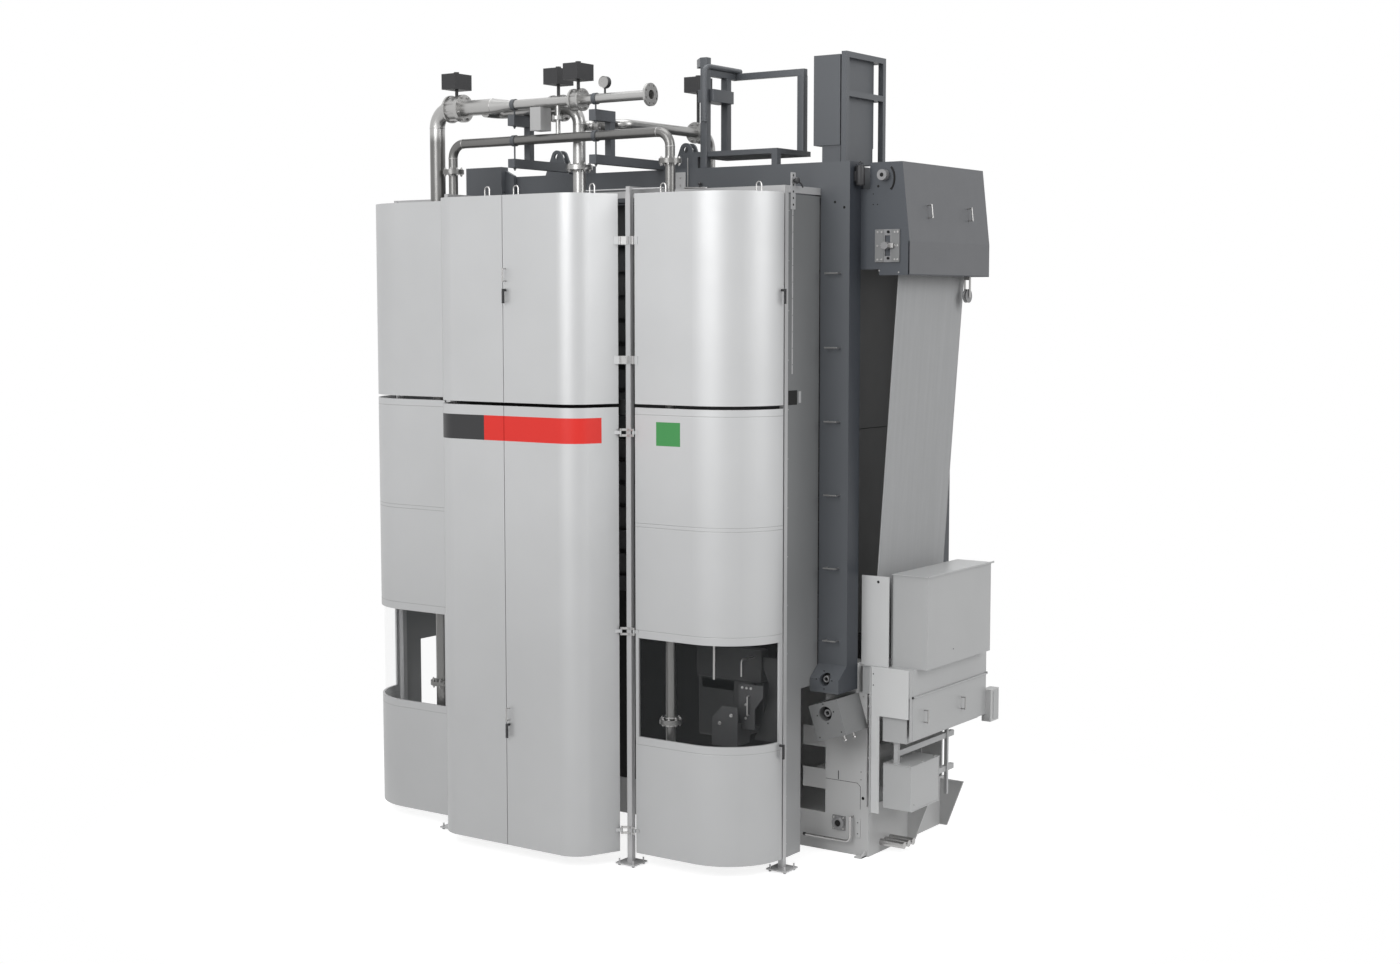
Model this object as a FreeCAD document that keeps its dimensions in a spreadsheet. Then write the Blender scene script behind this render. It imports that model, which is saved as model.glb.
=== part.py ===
import FreeCAD, Part
import math
import os
import re
import sys

import Sketcher
from FreeCAD import Placement, Rotation, Vector

# Tower filter press. X runs along the front from left to right, Y from front to back, Z up from the floor.
# Every size is a plain number of millimetres or degrees in the sheet, and every object reads it from there.

SIZES = {
    # from the datum of the sizes to the middle of the whole part's footprint
    "origin_x": 37.5, "origin_y": -71.5,
    # cabinets
    "cabinet_x": -465, "post_span": 2060, "side_front": -1280, "center_reach": 445,
    "side_slant": 24, "center_radius": 250, "door_sheet": 20, "door_bottom": 115,
    "door_split": 4012, "door_slot": 30, "door_top": 5830, "seam_slot": 6,
    "center_side_slot": 90, "center_back": 35, "flat_length": 658, "side_radius": 554,
    "side_door_slot": 60, "window_low": 1151, "window_high": 2018, "window_inset": 92,
    "window_end": 42, "pane_sheet": 4, "pane_lap": 15, "running": 6,
    # hinges, levers and handles of the doors
    "hinge_radius": 9, "hinge_pin": 5, "hinge_length": 70, "hinge_end": 20, "hinge_free": 0.5, "hinge_leaf": 5,
    "hinge_leaf_long": 45, "hinge_one": 310, "hinge_two": 2070, "hinge_three": 3795, "hinge_four": 4418,
    "hinge_five": 5434,
    "center_hinge_x": 62, "center_hinge_y": 45, "side_hinge_x": 48, "side_hinge_y": 10,
    "lever_length": 115, "lever_wide": 22, "lever_thick": 12, "lever_stand": 30, "lever_pivot": 11,
    "center_lever_x": 34, "center_lever_low": 1205, "center_lever_high": 5015,
    "side_lever_low": 1120, "side_lever_high": 5010, "side_lever_back": 34,
    "handle_tube": 7, "handle_length": 120, "handle_stand": 45, "center_handle_x": 36,
    "center_handle_low": 1298, "center_handle_high": 5145,
    # posts of the cabinets
    "post_wide": 50, "post_wall": 4, "foot_plate": 200, "foot_sheet": 12, "foot_height": 28,
    "foot_bolt": 8, "foot_bolt_pitch": 150, "foot_bolt_top": 60, "foot_pad": 14, "foot_pad_thick": 8,
    "post_y": -1270, "end_post_x": 1187, "end_post_y": 600, "tie_wide": 40, "tie_high": 60,
    "top_rail_tube": 7, "top_rail_left": 83, "top_rail_right": 914, "top_rail_y": -1250, "top_rail_z": 5868,
    "panel_sheet": 8, "panel_cut": 1560, "panel_low": 110, "panel_strip": 240, "panel_gap": 12, "panel_in": 5,
    # press frame
    "frame_x": -60, "frame_span": 4250, "press_y": 820, "press_span": 1900, "column_wide": 290,
    "column_deep": 190, "beam_low": 5830, "beam_high": 6112, "beam_deep": 230, "beam_end": 400,
    "beam_step": 6, "block_low": 1515, "block_high": 1742, "block_reach": 140, "block_slope": 110,
    "block_bore": 54, "block_bore_deep": 90, "block_pin": 30, "block_pin_reach": 55,
    "step_tube": 8, "step_length": 130, "step_stand": 60, "step_first": 1958, "step_pitch": 640,
    "step_count": 6, "step_x": 0,
    # plates of the pack
    "pack_low": 1900, "pack_high": 5420, "pack_side": 85, "pack_deep": 1300, "pack_pitch": 220,
    "pack_plate": 170, "pack_core": 60, "top_plate_low": 5440, "top_plate_high": 5820,
    "low_plate_low": 1530, "low_plate_high": 1880, "press_side": 55, "press_plate_deep": 1400,
    "tie_plate": 90,
    # base
    "base_y": 230, "base_sheet": 20, "base_over": 78, "base_low_high": 340,
    "base_tower": 425, "base_high": 1475, "base_flange": 60, "cross_wide": 120, "cross_high": 200,
    "cross_low": 60, "thrust_deep": 200, "roller_radius": 76, "roller_x": -505, "roller_low": 640, "roller_pitch": 380,
    "roller_shaft": 30, "roller_gap": 6, "roller_sheet": 12, "roller_plate": 180, "bearing_x": -199, "bearing_z": 270, "bearing_radius": 62,
    "bearing_bore": 30, "bearing_thick": 30, "bearing_plate": 130, "bearing_plate_thick": 14,
    "tilt_angle": 18, "tilt_wide": 300, "tilt_high": 320, "tilt_front": -150, "tilt_x": -105,
    "tilt_z": 1276, "tilt_bore": 64, "tilt_bore_up": 60, "tilt_bore_deep": 90, "tilt_pin": 34,
    "pull_tube": 11, "pull_stand": 60, "pull_radius": 50, "pull_low": 130, "pull_rise": 70,
    "pull_left": -525, "pull_mid": -375, "pull_right": -55, "pull_top": 360,
    # hood
    "hood_front": 190, "hood_back": -190, "hood_sheet": 8, "hood_root": -35, "hood_neck": 88,
    "hood_right": 400, "hood_out": 476, "hood_top": 6105, "hood_neck_low": 5880, "hood_crease": 5430,
    "hood_low": 5141, "hood_step_x": 183, "hood_step": 5192, "hood_handle_in": 380,
    "hood_handle_z": 5690, "adjust_left": 153, "adjust_right": 387, "adjust_low": 5252,
    "adjust_high": 5532, "adjust_thick": 12, "adjust_slot": 52, "adjust_knob": 32, "adjust_reach": 70,
    "hood_bearing_x": 234, "hood_bearing_z": 5993, "hood_bearing_radius": 46, "hood_bearing_reach": 60,
    "guide_x": 245, "guide_z": 5560, "guide_radius": 76, "motor_x": 25, "motor_y": 120,
    "motor_low": 5905, "motor_high": 6090, "motor_radius": 40,
    "pulley_x": 375, "pulley_y": -420, "pulley_z": 4968, "pulley_radius": 62, "pulley_thick": 34,
    "pulley_groove": 10, "pulley_bore": 11, "pulley_pin": 10.7, "hanger_wide": 30, "hanger_sheet": 6,
    "hanger_side": 5,
    # filter cloth
    "cloth_front": 330, "cloth_back": -330, "cloth_thick": 10, "cloth_top_x": 321.3, "cloth_top_z": 5560,
    "cloth_low_x": 55, "cloth_low_z": 1725,
    # washing unit
    "wash_front": 250, "wash_sheet": 12, "upright_left": 3, "upright_right": 274,
    "upright_low": 1722, "upright_high": 2520, "upright_deep": 90, "sump_left": 280, "sump_right": 630,
    "sump_front": 300, "sump_back": -380, "sump_low": 1731, "sump_high": 2535, "lid_thick": 8,
    "lid_left": 280, "lid_over": 12, "wide_left": 35, "wide_right": 535, "wide_front": 220,
    "wide_back": -260, "wide_low": 1475, "wide_high": 1725, "cover_low": 1100, "cover_thick": 30,
    "cover_sheet": 12, "cover_handle_one": 430, "cover_handle_two": -760, "cover_handle_z": 1290,
    "leg_left": 120, "leg_right": 500, "leg_inner": 210, "leg_low": 415, "leg_mid": 1290,
    "leg_high": 1722, "leg_front": 208, "leg_sheet": 12, "pan_left": 225, "pan_right": 495,
    "pan_low": 1063, "pan_high": 1280, "pan_back": -280, "box_left": 233, "box_right": 510,
    "box_front": 250, "box_back": 778, "box_low": 467, "box_high": 862, "rail_z": 930, "rail_high": 50,
    "rail_deep": 40, "rail_x": 335, "rail_back": -540, "rail_low_z": 620, "thin_post": 30,
    "thin_post_y": -680, "thin_post_low": 406, "gusset_thick": 20, "gusset_one": 830,
    "gusset_two": -310, "gusset_reach": 260, "gusset_high": 440, "gusset_top": 90, "skirt_high": 455,
    "bracket_left": 495, "bracket_wide": 90, "bracket_front": -260, "bracket_back": -90,
    "bracket_low": 1030, "bracket_high": 1330, "bracket_sheet": 10, "stub_radius": 30, "stub_wall": 5,
    "stub_length": 240, "stub_z": 90, "stub_pitch": 85, "stub_x": -25, "stub_y": 460,
    # top of the press
    "platform_left": 408, "platform_right": 1315, "platform_front": 20, "platform_deep": 560,
    "platform_low": 6212, "platform_thick": 45, "platform_leg": 60, "gantry_x": 540, "gantry_y": 40,
    "gantry_wide": 70, "gantry_high": 7090, "gantry_second": 330, "gantry_run": 470, "gantry_beam": 80,
    "gantry_drop": 60, "gantry_third_x": 1265, "gantry_head": 170,
    "gantry_link_low": 6700, "gantry_link_high": 6810, "rail_tube": 24, "rail_tube_drop": 420,
    "tower_left": -446, "tower_right": -180, "tower_front": 130, "tower_back": 580, "tower_low": 6265,
    "tower_high": 7037, "guard_angle": 50, "guard_wall": 6, "guard_gap": 12, "guard_high": 7060,
    "guard_mid": 6680, "guard_back": 640, "tower_foot_low": 6112, "tower_foot_high": 6230,
    "tower_foot_left": -365, "lug_wide": 283, "lug_high": 243, "lug_round": 62, "lug_crown": 57,
    "lug_sheet": 22, "lug_apart": 80, "lug_bore": 30, "lug_one": -1255, "lug_two": 250, "lug_y": 190,
    "keeper_wide": 110, "keeper_high": 160, "keeper_thick": 8, "keeper_two": 297, "keeper_z": 6006, "keeper_up": 20,
    "end_box_left": -2190, "end_box_right": -1743, "end_box_deep": 100, "end_box_high": 6205,
    "end_ramp_long": 103, "end_ramp_deep": 40, "end_ramp_low": 8, "end_ramp_high": 58,
    # pipework
    "line_y": -1080, "line_z": 6672, "big_pipe": 70, "big_bend": 165, "big_x": -1785, "small_pipe": 42,
    "reducer_left": -1105, "reducer_right": -900, "outlet_x": 661, "feed_low": 600,
    "second_z": 6353, "second_left": -1595, "second_right": 856, "second_bend": 128,
    "second_low_left": 600, "second_low_right": 620, "window_flange": 1278, "left_flange": 1250, "feed_flange": 1330,
    "middle_x": -279, "middle_y": -880, "middle_z": 6636, "middle_pipe": 57, "middle_bend": 152,
    "middle_turn": 100, "middle_end": -1100, "middle_low": 4600,
    "thin_pipe": 21, "thin_x": -358, "thin_flange": 57, "thin_z": 6528,
    "back_x": 130, "back_z": 6476, "back_bend": 150, "back_y": 590, "back_pipe": 44, "back_stub": 30,
    "back_turn": 90,
    "back_left": -110,
    "flange_big": 125, "flange_small": 98, "flange_middle": 118, "flange_thick": 20, "flange_z": 6103,
    "valve_one": -1543, "valve_one_wide": 132, "valve_two": -512, "valve_two_wide": 110,
    "valve_three": -129, "valve_three_wide": 90, "valve_back": 385, "valve_back_wide": 100,
    "valve_core": 0.86, "outlet_thick": 24, "outlet_circle": 160, "outlet_bolt": 9, "outlet_deep": 120,
    "outlet_bore": 39, "outlet_bolts": 8,
    "actuator_wide": 160, "actuator_deep": 232, "actuator_low": 6842, "actuator_high": 140,
    "actuator_stem": 15, "actuator_cap": 24, "actuator_cap_high": 22,
    "gauge_x": 164, "gauge_z": 6805, "gauge_radius": 52, "gauge_thick": 45, "gauge_stem": 9,
    "control_left": -620, "control_right": -500, "control_front": -1150, "control_back": -1002,
    "control_low": 6425,
    "bracket_one": -858, "bracket_two": 62, "arm_wide": 75, "arm_high": 78, "arm_front": -1130,
    "arm_back": 60, "arm_post": 64, "arm_post_y": -877, "arm_upper_low": 6483, "arm_upper_high": 6578,
    "arm_upper_back": -845, "clamp_wide": 40, "clamp_over": 8, "clamp_rod": 8, "clamp_nut": 14,
    "clamp_nut_high": 12, "pipe_clear": 0.3,
}

doc = FreeCAD.newDocument("FilterPress")
sheet = doc.addObject("Spreadsheet::Sheet", "Sheet")
for row, (alias, number) in enumerate(SIZES.items(), start=1):
    sheet.set(f"A{row}", alias.replace("_", " "))
    sheet.set(f"B{row}", str(number))
    sheet.setAlias(f"B{row}", alias)
doc.recompute()

NODES = []
# Sizes of the right end are places along X from the outer face of the right columns, and depths are places
# along Y from the front or the rear face of the press.
PLACES = {
    "Sheet.frame_x + Sheet.frame_span / 2": """
    roller_x bearing_x tilt_x pull_left pull_mid pull_right hood_root hood_neck hood_right hood_out
    hood_step_x adjust_left adjust_right hood_bearing_x guide_x motor_x pulley_x cloth_top_x
    cloth_low_x upright_left upright_right sump_left sump_right lid_left wide_left wide_right
    leg_left leg_right leg_inner pan_left pan_right box_left box_right rail_x bracket_left stub_x
    tower_left tower_right tower_foot_left
    """,
    "Sheet.press_y - Sheet.press_span / 2": """
    hood_front cloth_front wash_front sump_front wide_front leg_front box_front box_back
    cover_handle_one tower_front platform_front gantry_y tilt_front base_y motor_y lug_y stub_y
    """,
    "Sheet.press_y + Sheet.press_span / 2": """
    hood_back cloth_back sump_back wide_back pan_back bracket_front bracket_back cover_handle_two
    rail_back thin_post_y gusset_two pulley_y
    """,
}
DATUMS = {name: datum for datum, names in PLACES.items() for name in names.split()}


def size_cell(word):
    """The cell of one size, with the face that it is measured from."""
    name = word.group(0)
    if name in DATUMS:
        return f"(Sheet.{name} + {DATUMS[name]})"
    return "Sheet." + name if name in SIZES else name


def cell(text):
    """The expression with the name of each size turned into its cell of the sheet."""
    return re.sub(r"[a-z][a-z_]*", size_cell, text)


def value(text):
    """The number that an expression on the sheet gives now."""
    result = sheet.evalExpression(cell(text))
    return float(getattr(result, "Value", result))


def bind(thing, prop, text):
    thing.setExpression(prop, cell(text))


def place(thing, x="0", y="0", z="0"):
    bind(thing, "Placement.Base.x", x)
    bind(thing, "Placement.Base.y", y)
    bind(thing, "Placement.Base.z", z)
    return thing


def node(thing, name):
    """Names a finished sub-part, whose label is the name of its file, and moves it to the part's origin."""
    thing.Label = name
    bound = {path.lstrip("."): text for path, text in thing.ExpressionEngine}
    for axis in ("x", "y"):
        path = f"Placement.Base.{axis}"
        thing.setExpression(path, f"({bound.get(path, 0)}) + Sheet.origin_{axis}")
    NODES.append(thing)
    return thing


def block(name, x, y, z):
    """A box between two places along each axis, given as (low, high) expressions."""
    box = doc.addObject("Part::Box", name)
    bind(box, "Length", f"({x[1]}) - ({x[0]})")
    bind(box, "Width", f"({y[1]}) - ({y[0]})")
    bind(box, "Height", f"({z[1]}) - ({z[0]})")
    return place(box, x[0], y[0], z[0])


TURNS = {"X": Rotation(Vector(0, 1, 0), 90), "Y": Rotation(Vector(1, 0, 0), -90), "Z": Rotation()}


def rod(name, axis, radius, x, y, z):
    """A round bar along an axis. Its own axis takes a (low, high) pair and the others take one place."""
    spans = {"X": x, "Y": y, "Z": z}
    low, high = spans[axis]
    bar = doc.addObject("Part::Cylinder", name)
    bind(bar, "Radius", radius)
    bind(bar, "Height", f"({high}) - ({low})")
    bar.Placement = Placement(Vector(), TURNS[axis])
    spots = {key: (low if key == axis else text) for key, text in spans.items()}
    return place(bar, spots["X"], spots["Y"], spots["Z"])


def bend(name, turn, bend_radius, radius, x, y, z, sweep=90):
    """A round elbow: part of a ring about the centre of its bend."""
    ring = doc.addObject("Part::Torus", name)
    bind(ring, "Radius1", bend_radius)
    bind(ring, "Radius2", radius)
    ring.Angle3 = sweep
    ring.Placement = Placement(Vector(), turn)
    return place(ring, x, y, z)


def fuse(name, *shapes):
    joined = doc.addObject("Part::MultiFuse", name)
    joined.Shapes = list(shapes)
    return joined


def cut(name, base, *tools):
    tool = tools[0] if len(tools) == 1 else fuse(name + "_tools", *tools)
    rest = doc.addObject("Part::Cut", name)
    rest.Base = base
    rest.Tool = tool
    return rest


def common(name, base, tool):
    both = doc.addObject("Part::Common", name)
    both.Base = base
    both.Tool = tool
    return both


def group(name, *shapes):
    """Solids that don't touch, kept in one sub-part."""
    together = doc.addObject("Part::Compound", name)
    together.Links = list(shapes)
    return together


def sketch_outline(sketch, outline):
    """Draws a closed outline. Each entry is the end of a side: (u, v) for a line to there, or
    (u, v, radius, turn) for an arc to there that turns left (+1) or right (-1). Each end is dimensioned
    from the origin and each arc by its radius, all from the sheet."""
    ends = [(value(entry[0]), value(entry[1])) for entry in outline]
    previous_ends = []
    for index, entry in enumerate(outline):
        start = Vector(*ends[index - 1], 0)
        end = Vector(*ends[index], 0)
        if len(entry) == 2:
            sketch.addGeometry(Part.LineSegment(start, end), False)
            previous_ends.append((1, 2))
            continue
        radius, turn = value(entry[2]), entry[3]
        middle = (start + end) * 0.5
        chord = end - start
        rise = math.sqrt(max(radius**2 - (chord.Length / 2) ** 2, 0))
        center = middle + Vector(-chord.y, chord.x, 0).normalize() * (rise * turn)
        angles = [math.atan2(p.y - center.y, p.x - center.x) for p in (start, end)]
        if turn < 0:
            angles.reverse()
        if angles[1] < angles[0]:
            angles[1] += 2 * math.pi
        circle = Part.Circle(center, Vector(0, 0, 1), radius)
        sketch.addGeometry(Part.ArcOfCircle(circle, *angles), False)
        previous_ends.append((1, 2) if turn > 0 else (2, 1))
    count = len(outline)
    for index in range(count):
        before = (index - 1) % count
        sketch.addConstraint(
            Sketcher.Constraint("Coincident", before, previous_ends[before][1], index, previous_ends[index][0])
        )
    for index, entry in enumerate(outline):
        spot = previous_ends[index][1]
        for kind, text, number in (("DistanceX", entry[0], ends[index][0]), ("DistanceY", entry[1], ends[index][1])):
            made = sketch.addConstraint(Sketcher.Constraint(kind, index, spot, number))
            bind(sketch, f"Constraints[{made}]", text)
        if len(entry) == 4:
            made = sketch.addConstraint(Sketcher.Constraint("Radius", index, value(entry[2])))
            bind(sketch, f"Constraints[{made}]", entry[2])


PLANES = {"XY": "XY_Plane", "XZ": "XZ_Plane", "YZ": "YZ_Plane"}


def plate(name, plane, outline, low, high):
    """A sketched outline on a plane, padded between two places across it."""
    body = doc.addObject("PartDesign::Body", name)
    sketch = body.newObject("Sketcher::SketchObject", name + "_sketch")
    origin = next(item for item in body.Origin.OriginFeatures if item.Role == PLANES[plane])
    sketch.AttachmentSupport = [(origin, "")]
    sketch.MapMode = "FlatFace"
    # the XZ plane looks along -Y, so its pads start at the far place
    bind(sketch, "AttachmentOffset.Base.z", f"-({high})" if plane == "XZ" else low)
    sketch_outline(sketch, outline)
    pad = body.newObject("PartDesign::Pad", name + "_pad")
    pad.Profile = sketch
    bind(pad, "Length", f"({high}) - ({low})")
    sketch.Visibility = False
    return body


def revolved(name, outline, x, y, z):
    """An outline of (along, radius) ends, turned right round a level axis that runs along X."""
    body = doc.addObject("PartDesign::Body", name)
    sketch = body.newObject("Sketcher::SketchObject", name + "_sketch")
    origin = next(item for item in body.Origin.OriginFeatures if item.Role == PLANES["XZ"])
    sketch.AttachmentSupport = [(origin, "")]
    sketch.MapMode = "FlatFace"
    sketch_outline(sketch, outline)
    around = body.newObject("PartDesign::Revolution", name + "_turn")
    around.Profile = sketch
    around.ReferenceAxis = (sketch, ["H_Axis"])
    around.Angle = 360
    sketch.Visibility = False
    return place(body, x, y, z)


def nut(name, radius, x, y, z):
    """A six-sided upright nut or stud. z is a (low, high) pair."""
    prism = doc.addObject("Part::Prism", name)
    prism.Polygon = 6
    bind(prism, "Circumradius", radius)
    bind(prism, "Height", f"({z[1]}) - ({z[0]})")
    return place(prism, x, y, z[0])


def handle(name, across, along, x, y, z):
    """A bar handle: a round bar and its two legs. x, y and z are the middle of its seat, across is the
    way that it stands off, and along is the way that the bar runs."""
    spots = {"X": x, "Y": y, "Z": z}
    sign, normal = (-1, across[1]) if across[0] == "-" else (1, across)
    half = "(handle_length / 2 - handle_tube)"
    bar = dict(spots)
    bar[normal] = f"{spots[normal]} + {sign} * handle_stand"
    bar[along] = (f"{spots[along]} - handle_length / 2", f"{spots[along]} + handle_length / 2")
    parts = [rod(name + "_bar", along, "handle_tube", bar["X"], bar["Y"], bar["Z"])]
    for index, side in enumerate((-1, 1)):
        leg = dict(spots)
        leg[along] = f"{spots[along]} + {side} * {half}"
        edges = [spots[normal], f"{spots[normal]} + {sign} * handle_stand"]
        leg[normal] = tuple(edges if sign > 0 else reversed(edges))
        parts.append(rod(f"{name}_leg{index}", normal, "handle_tube * 0.8", leg["X"], leg["Y"], leg["Z"]))
    return fuse(name, *parts)


# Cabinets. Places across the front are measured from the middle of the centre cabinet, d, towards
# one side: +1 is right and -1 is left.
def across(side, d):
    return f"cabinet_x + {side} * ({d})"


HALF = "post_span / 2"
CENTER_FRONT = "side_front - center_reach"
CORNER = "(post_span / 2 - center_side_slot - (center_reach - center_back) * tan(side_slant * 1 deg))"
CORNER_RUN = "(center_radius * tan((90 - side_slant) * 0.5 deg))"
SIN_SLANT = "sin(side_slant * 1 deg)"
COS_SLANT = "cos(side_slant * 1 deg)"
SIDE_END = "side_front + side_radius"


def center_door(name, side, low, high):
    """One leaf of the centre cabinet: flat front, rounded corner and slanted side, in folded sheet."""
    inner_arc = f"{CORNER_RUN} * {SIN_SLANT}"
    outline = [
        (across(side, "seam_slot / 2"), CENTER_FRONT),
        (across(side, f"{CORNER} - {CORNER_RUN}"), CENTER_FRONT),
        (across(side, f"{CORNER} + {inner_arc}"), f"{CENTER_FRONT} + {CORNER_RUN} * {COS_SLANT}",
         "center_radius", side),
        (across(side, f"{HALF} - center_side_slot"), "side_front - center_back"),
        (across(side, f"{HALF} - center_side_slot - door_sheet * {COS_SLANT}"),
         f"side_front - center_back + door_sheet * {SIN_SLANT}"),
        (across(side, f"{CORNER} + {inner_arc} - door_sheet * {COS_SLANT}"),
         f"{CENTER_FRONT} + {CORNER_RUN} * {COS_SLANT} + door_sheet * {SIN_SLANT}"),
        (across(side, f"{CORNER} - {CORNER_RUN}"), f"{CENTER_FRONT} + door_sheet",
         "center_radius - door_sheet", -side),
        (across(side, "seam_slot / 2"), f"{CENTER_FRONT} + door_sheet"),
    ]
    return plate(name, "XY", outline, low, high)


def side_shell(name, side, inset, sheet_size, low, high):
    """The curved sheet of a side cabinet, a given way in from the outer face."""
    near = across(side, f"{HALF} + side_door_slot")
    flat = across(side, f"{HALF} + flat_length")
    outline = [
        (near, f"side_front + {inset}"),
        (flat, f"side_front + {inset}"),
        (across(side, f"{HALF} + flat_length + side_radius - {inset}"), SIDE_END,
         f"side_radius - {inset}", side),
        (across(side, f"{HALF} + flat_length + side_radius - {inset} - {sheet_size}"), SIDE_END),
        (flat, f"side_front + {inset} + {sheet_size}", f"side_radius - {inset} - {sheet_size}", -side),
        (near, f"side_front + {inset} + {sheet_size}"),
    ]
    return plate(name, "XY", outline, low, high)


def ordered(side, first, second):
    """The (low, high) pair of two places measured from the middle towards one side."""
    pair = (across(side, first), across(side, second))
    return pair if side > 0 else (pair[1], pair[0])


def post(name, x, y):
    """A square cabinet post with its base plate and four levelling bolts."""
    half, plate_half = "post_wide / 2", "foot_plate / 2"
    parts = [
        block(name + "_bar", (f"{x} - {half}", f"{x} + {half}"), (f"{y} - {half}", f"{y} + {half}"),
              ("foot_height", "door_top")),
        block(name + "_plate", (f"{x} - {plate_half}", f"{x} + {plate_half}"),
              (f"{y} - {plate_half}", f"{y} + {plate_half}"), ("foot_height - foot_sheet", "foot_height")),
    ]
    for index, (u, v) in enumerate(((-1, -1), (1, -1), (1, 1), (-1, 1))):
        bolt_x = f"{x} + {u} * foot_bolt_pitch / 2"
        bolt_y = f"{y} + {v} * foot_bolt_pitch / 2"
        parts.append(nut(f"{name}_bolt{index}", "foot_bolt", bolt_x, bolt_y, ("0", "foot_bolt_top")))
        parts.append(nut(f"{name}_pad{index}", "foot_pad", bolt_x, bolt_y, ("0", "foot_pad_thick")))
    return fuse(name, *parts)


posts = []
side_panels = []
for side, word in ((-1, "left"), (1, "right")):
    posts.append(post(f"front_post_{word}", across(side, HALF), "post_y"))
    end_x, end_y = across(side, f"{HALF} + end_post_x"), "side_front + end_post_y"
    posts.append(post(f"end_post_{word}", end_x, end_y))
    # silver panel from the end post back to the column, narrower below its cut-out
    panel_x = (across(side, f"{HALF} + end_post_x + post_wide / 2 - panel_in - panel_sheet"),
               across(side, f"{HALF} + end_post_x + post_wide / 2 - panel_in"))
    near_y = f"{end_y} + post_wide / 2"
    outline = [
        (near_y, "panel_low"), (f"{near_y} + panel_strip", "panel_low"), (f"{near_y} + panel_strip", "panel_cut"),
        ("press_y - press_span / 2 - panel_gap", "panel_cut"),
        ("press_y - press_span / 2 - panel_gap", "beam_low - panel_gap"),
        (near_y, "beam_low - panel_gap"),
    ]
    low, high = panel_x if side > 0 else (panel_x[1], panel_x[0])
    side_panels.append(plate(f"side_panel_{word}", "YZ", outline, low, high))
node(group("side_panels", *side_panels), "side_panels")

# ties from the tops of the posts back to the front beam
TIE_Z = ("door_top", "door_top + tie_high")
ties = []
for side in (-1, 1):
    for name, d, y in (("inner", HALF, "post_y"), ("outer", f"{HALF} + end_post_x", "side_front + end_post_y")):
        x = across(side, d)
        ties.append(block(f"tie_{name}{side}", (f"{x} - tie_wide / 2", f"{x} + tie_wide / 2"),
                          (f"{y} - post_wide / 2", "press_y - press_span / 2"), TIE_Z))
ties.append(block("tie_bar", (across(-1, f"{HALF} + end_post_x"), across(1, f"{HALF} + end_post_x")),
                  ("side_front + end_post_y - tie_wide / 2", "side_front + end_post_y + tie_wide / 2"), TIE_Z))
ties.append(rod("top_rail", "X", "top_rail_tube", ("top_rail_left", "top_rail_right"), "top_rail_y", "top_rail_z"))
node(fuse("cabinet_frame", *posts, *ties), "cabinet_frame")



# hinges: two knuckles and a pin on the post, one knuckle and a leaf on the door
HINGES = [("one", False), ("two", False), ("three", False), ("four", True), ("five", True)]
AXES = {"center": (f"{HALF} - center_hinge_x", "side_front - center_hinge_y"),
        "side": (f"{HALF} + side_hinge_x", "side_front - side_hinge_y")}


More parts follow.
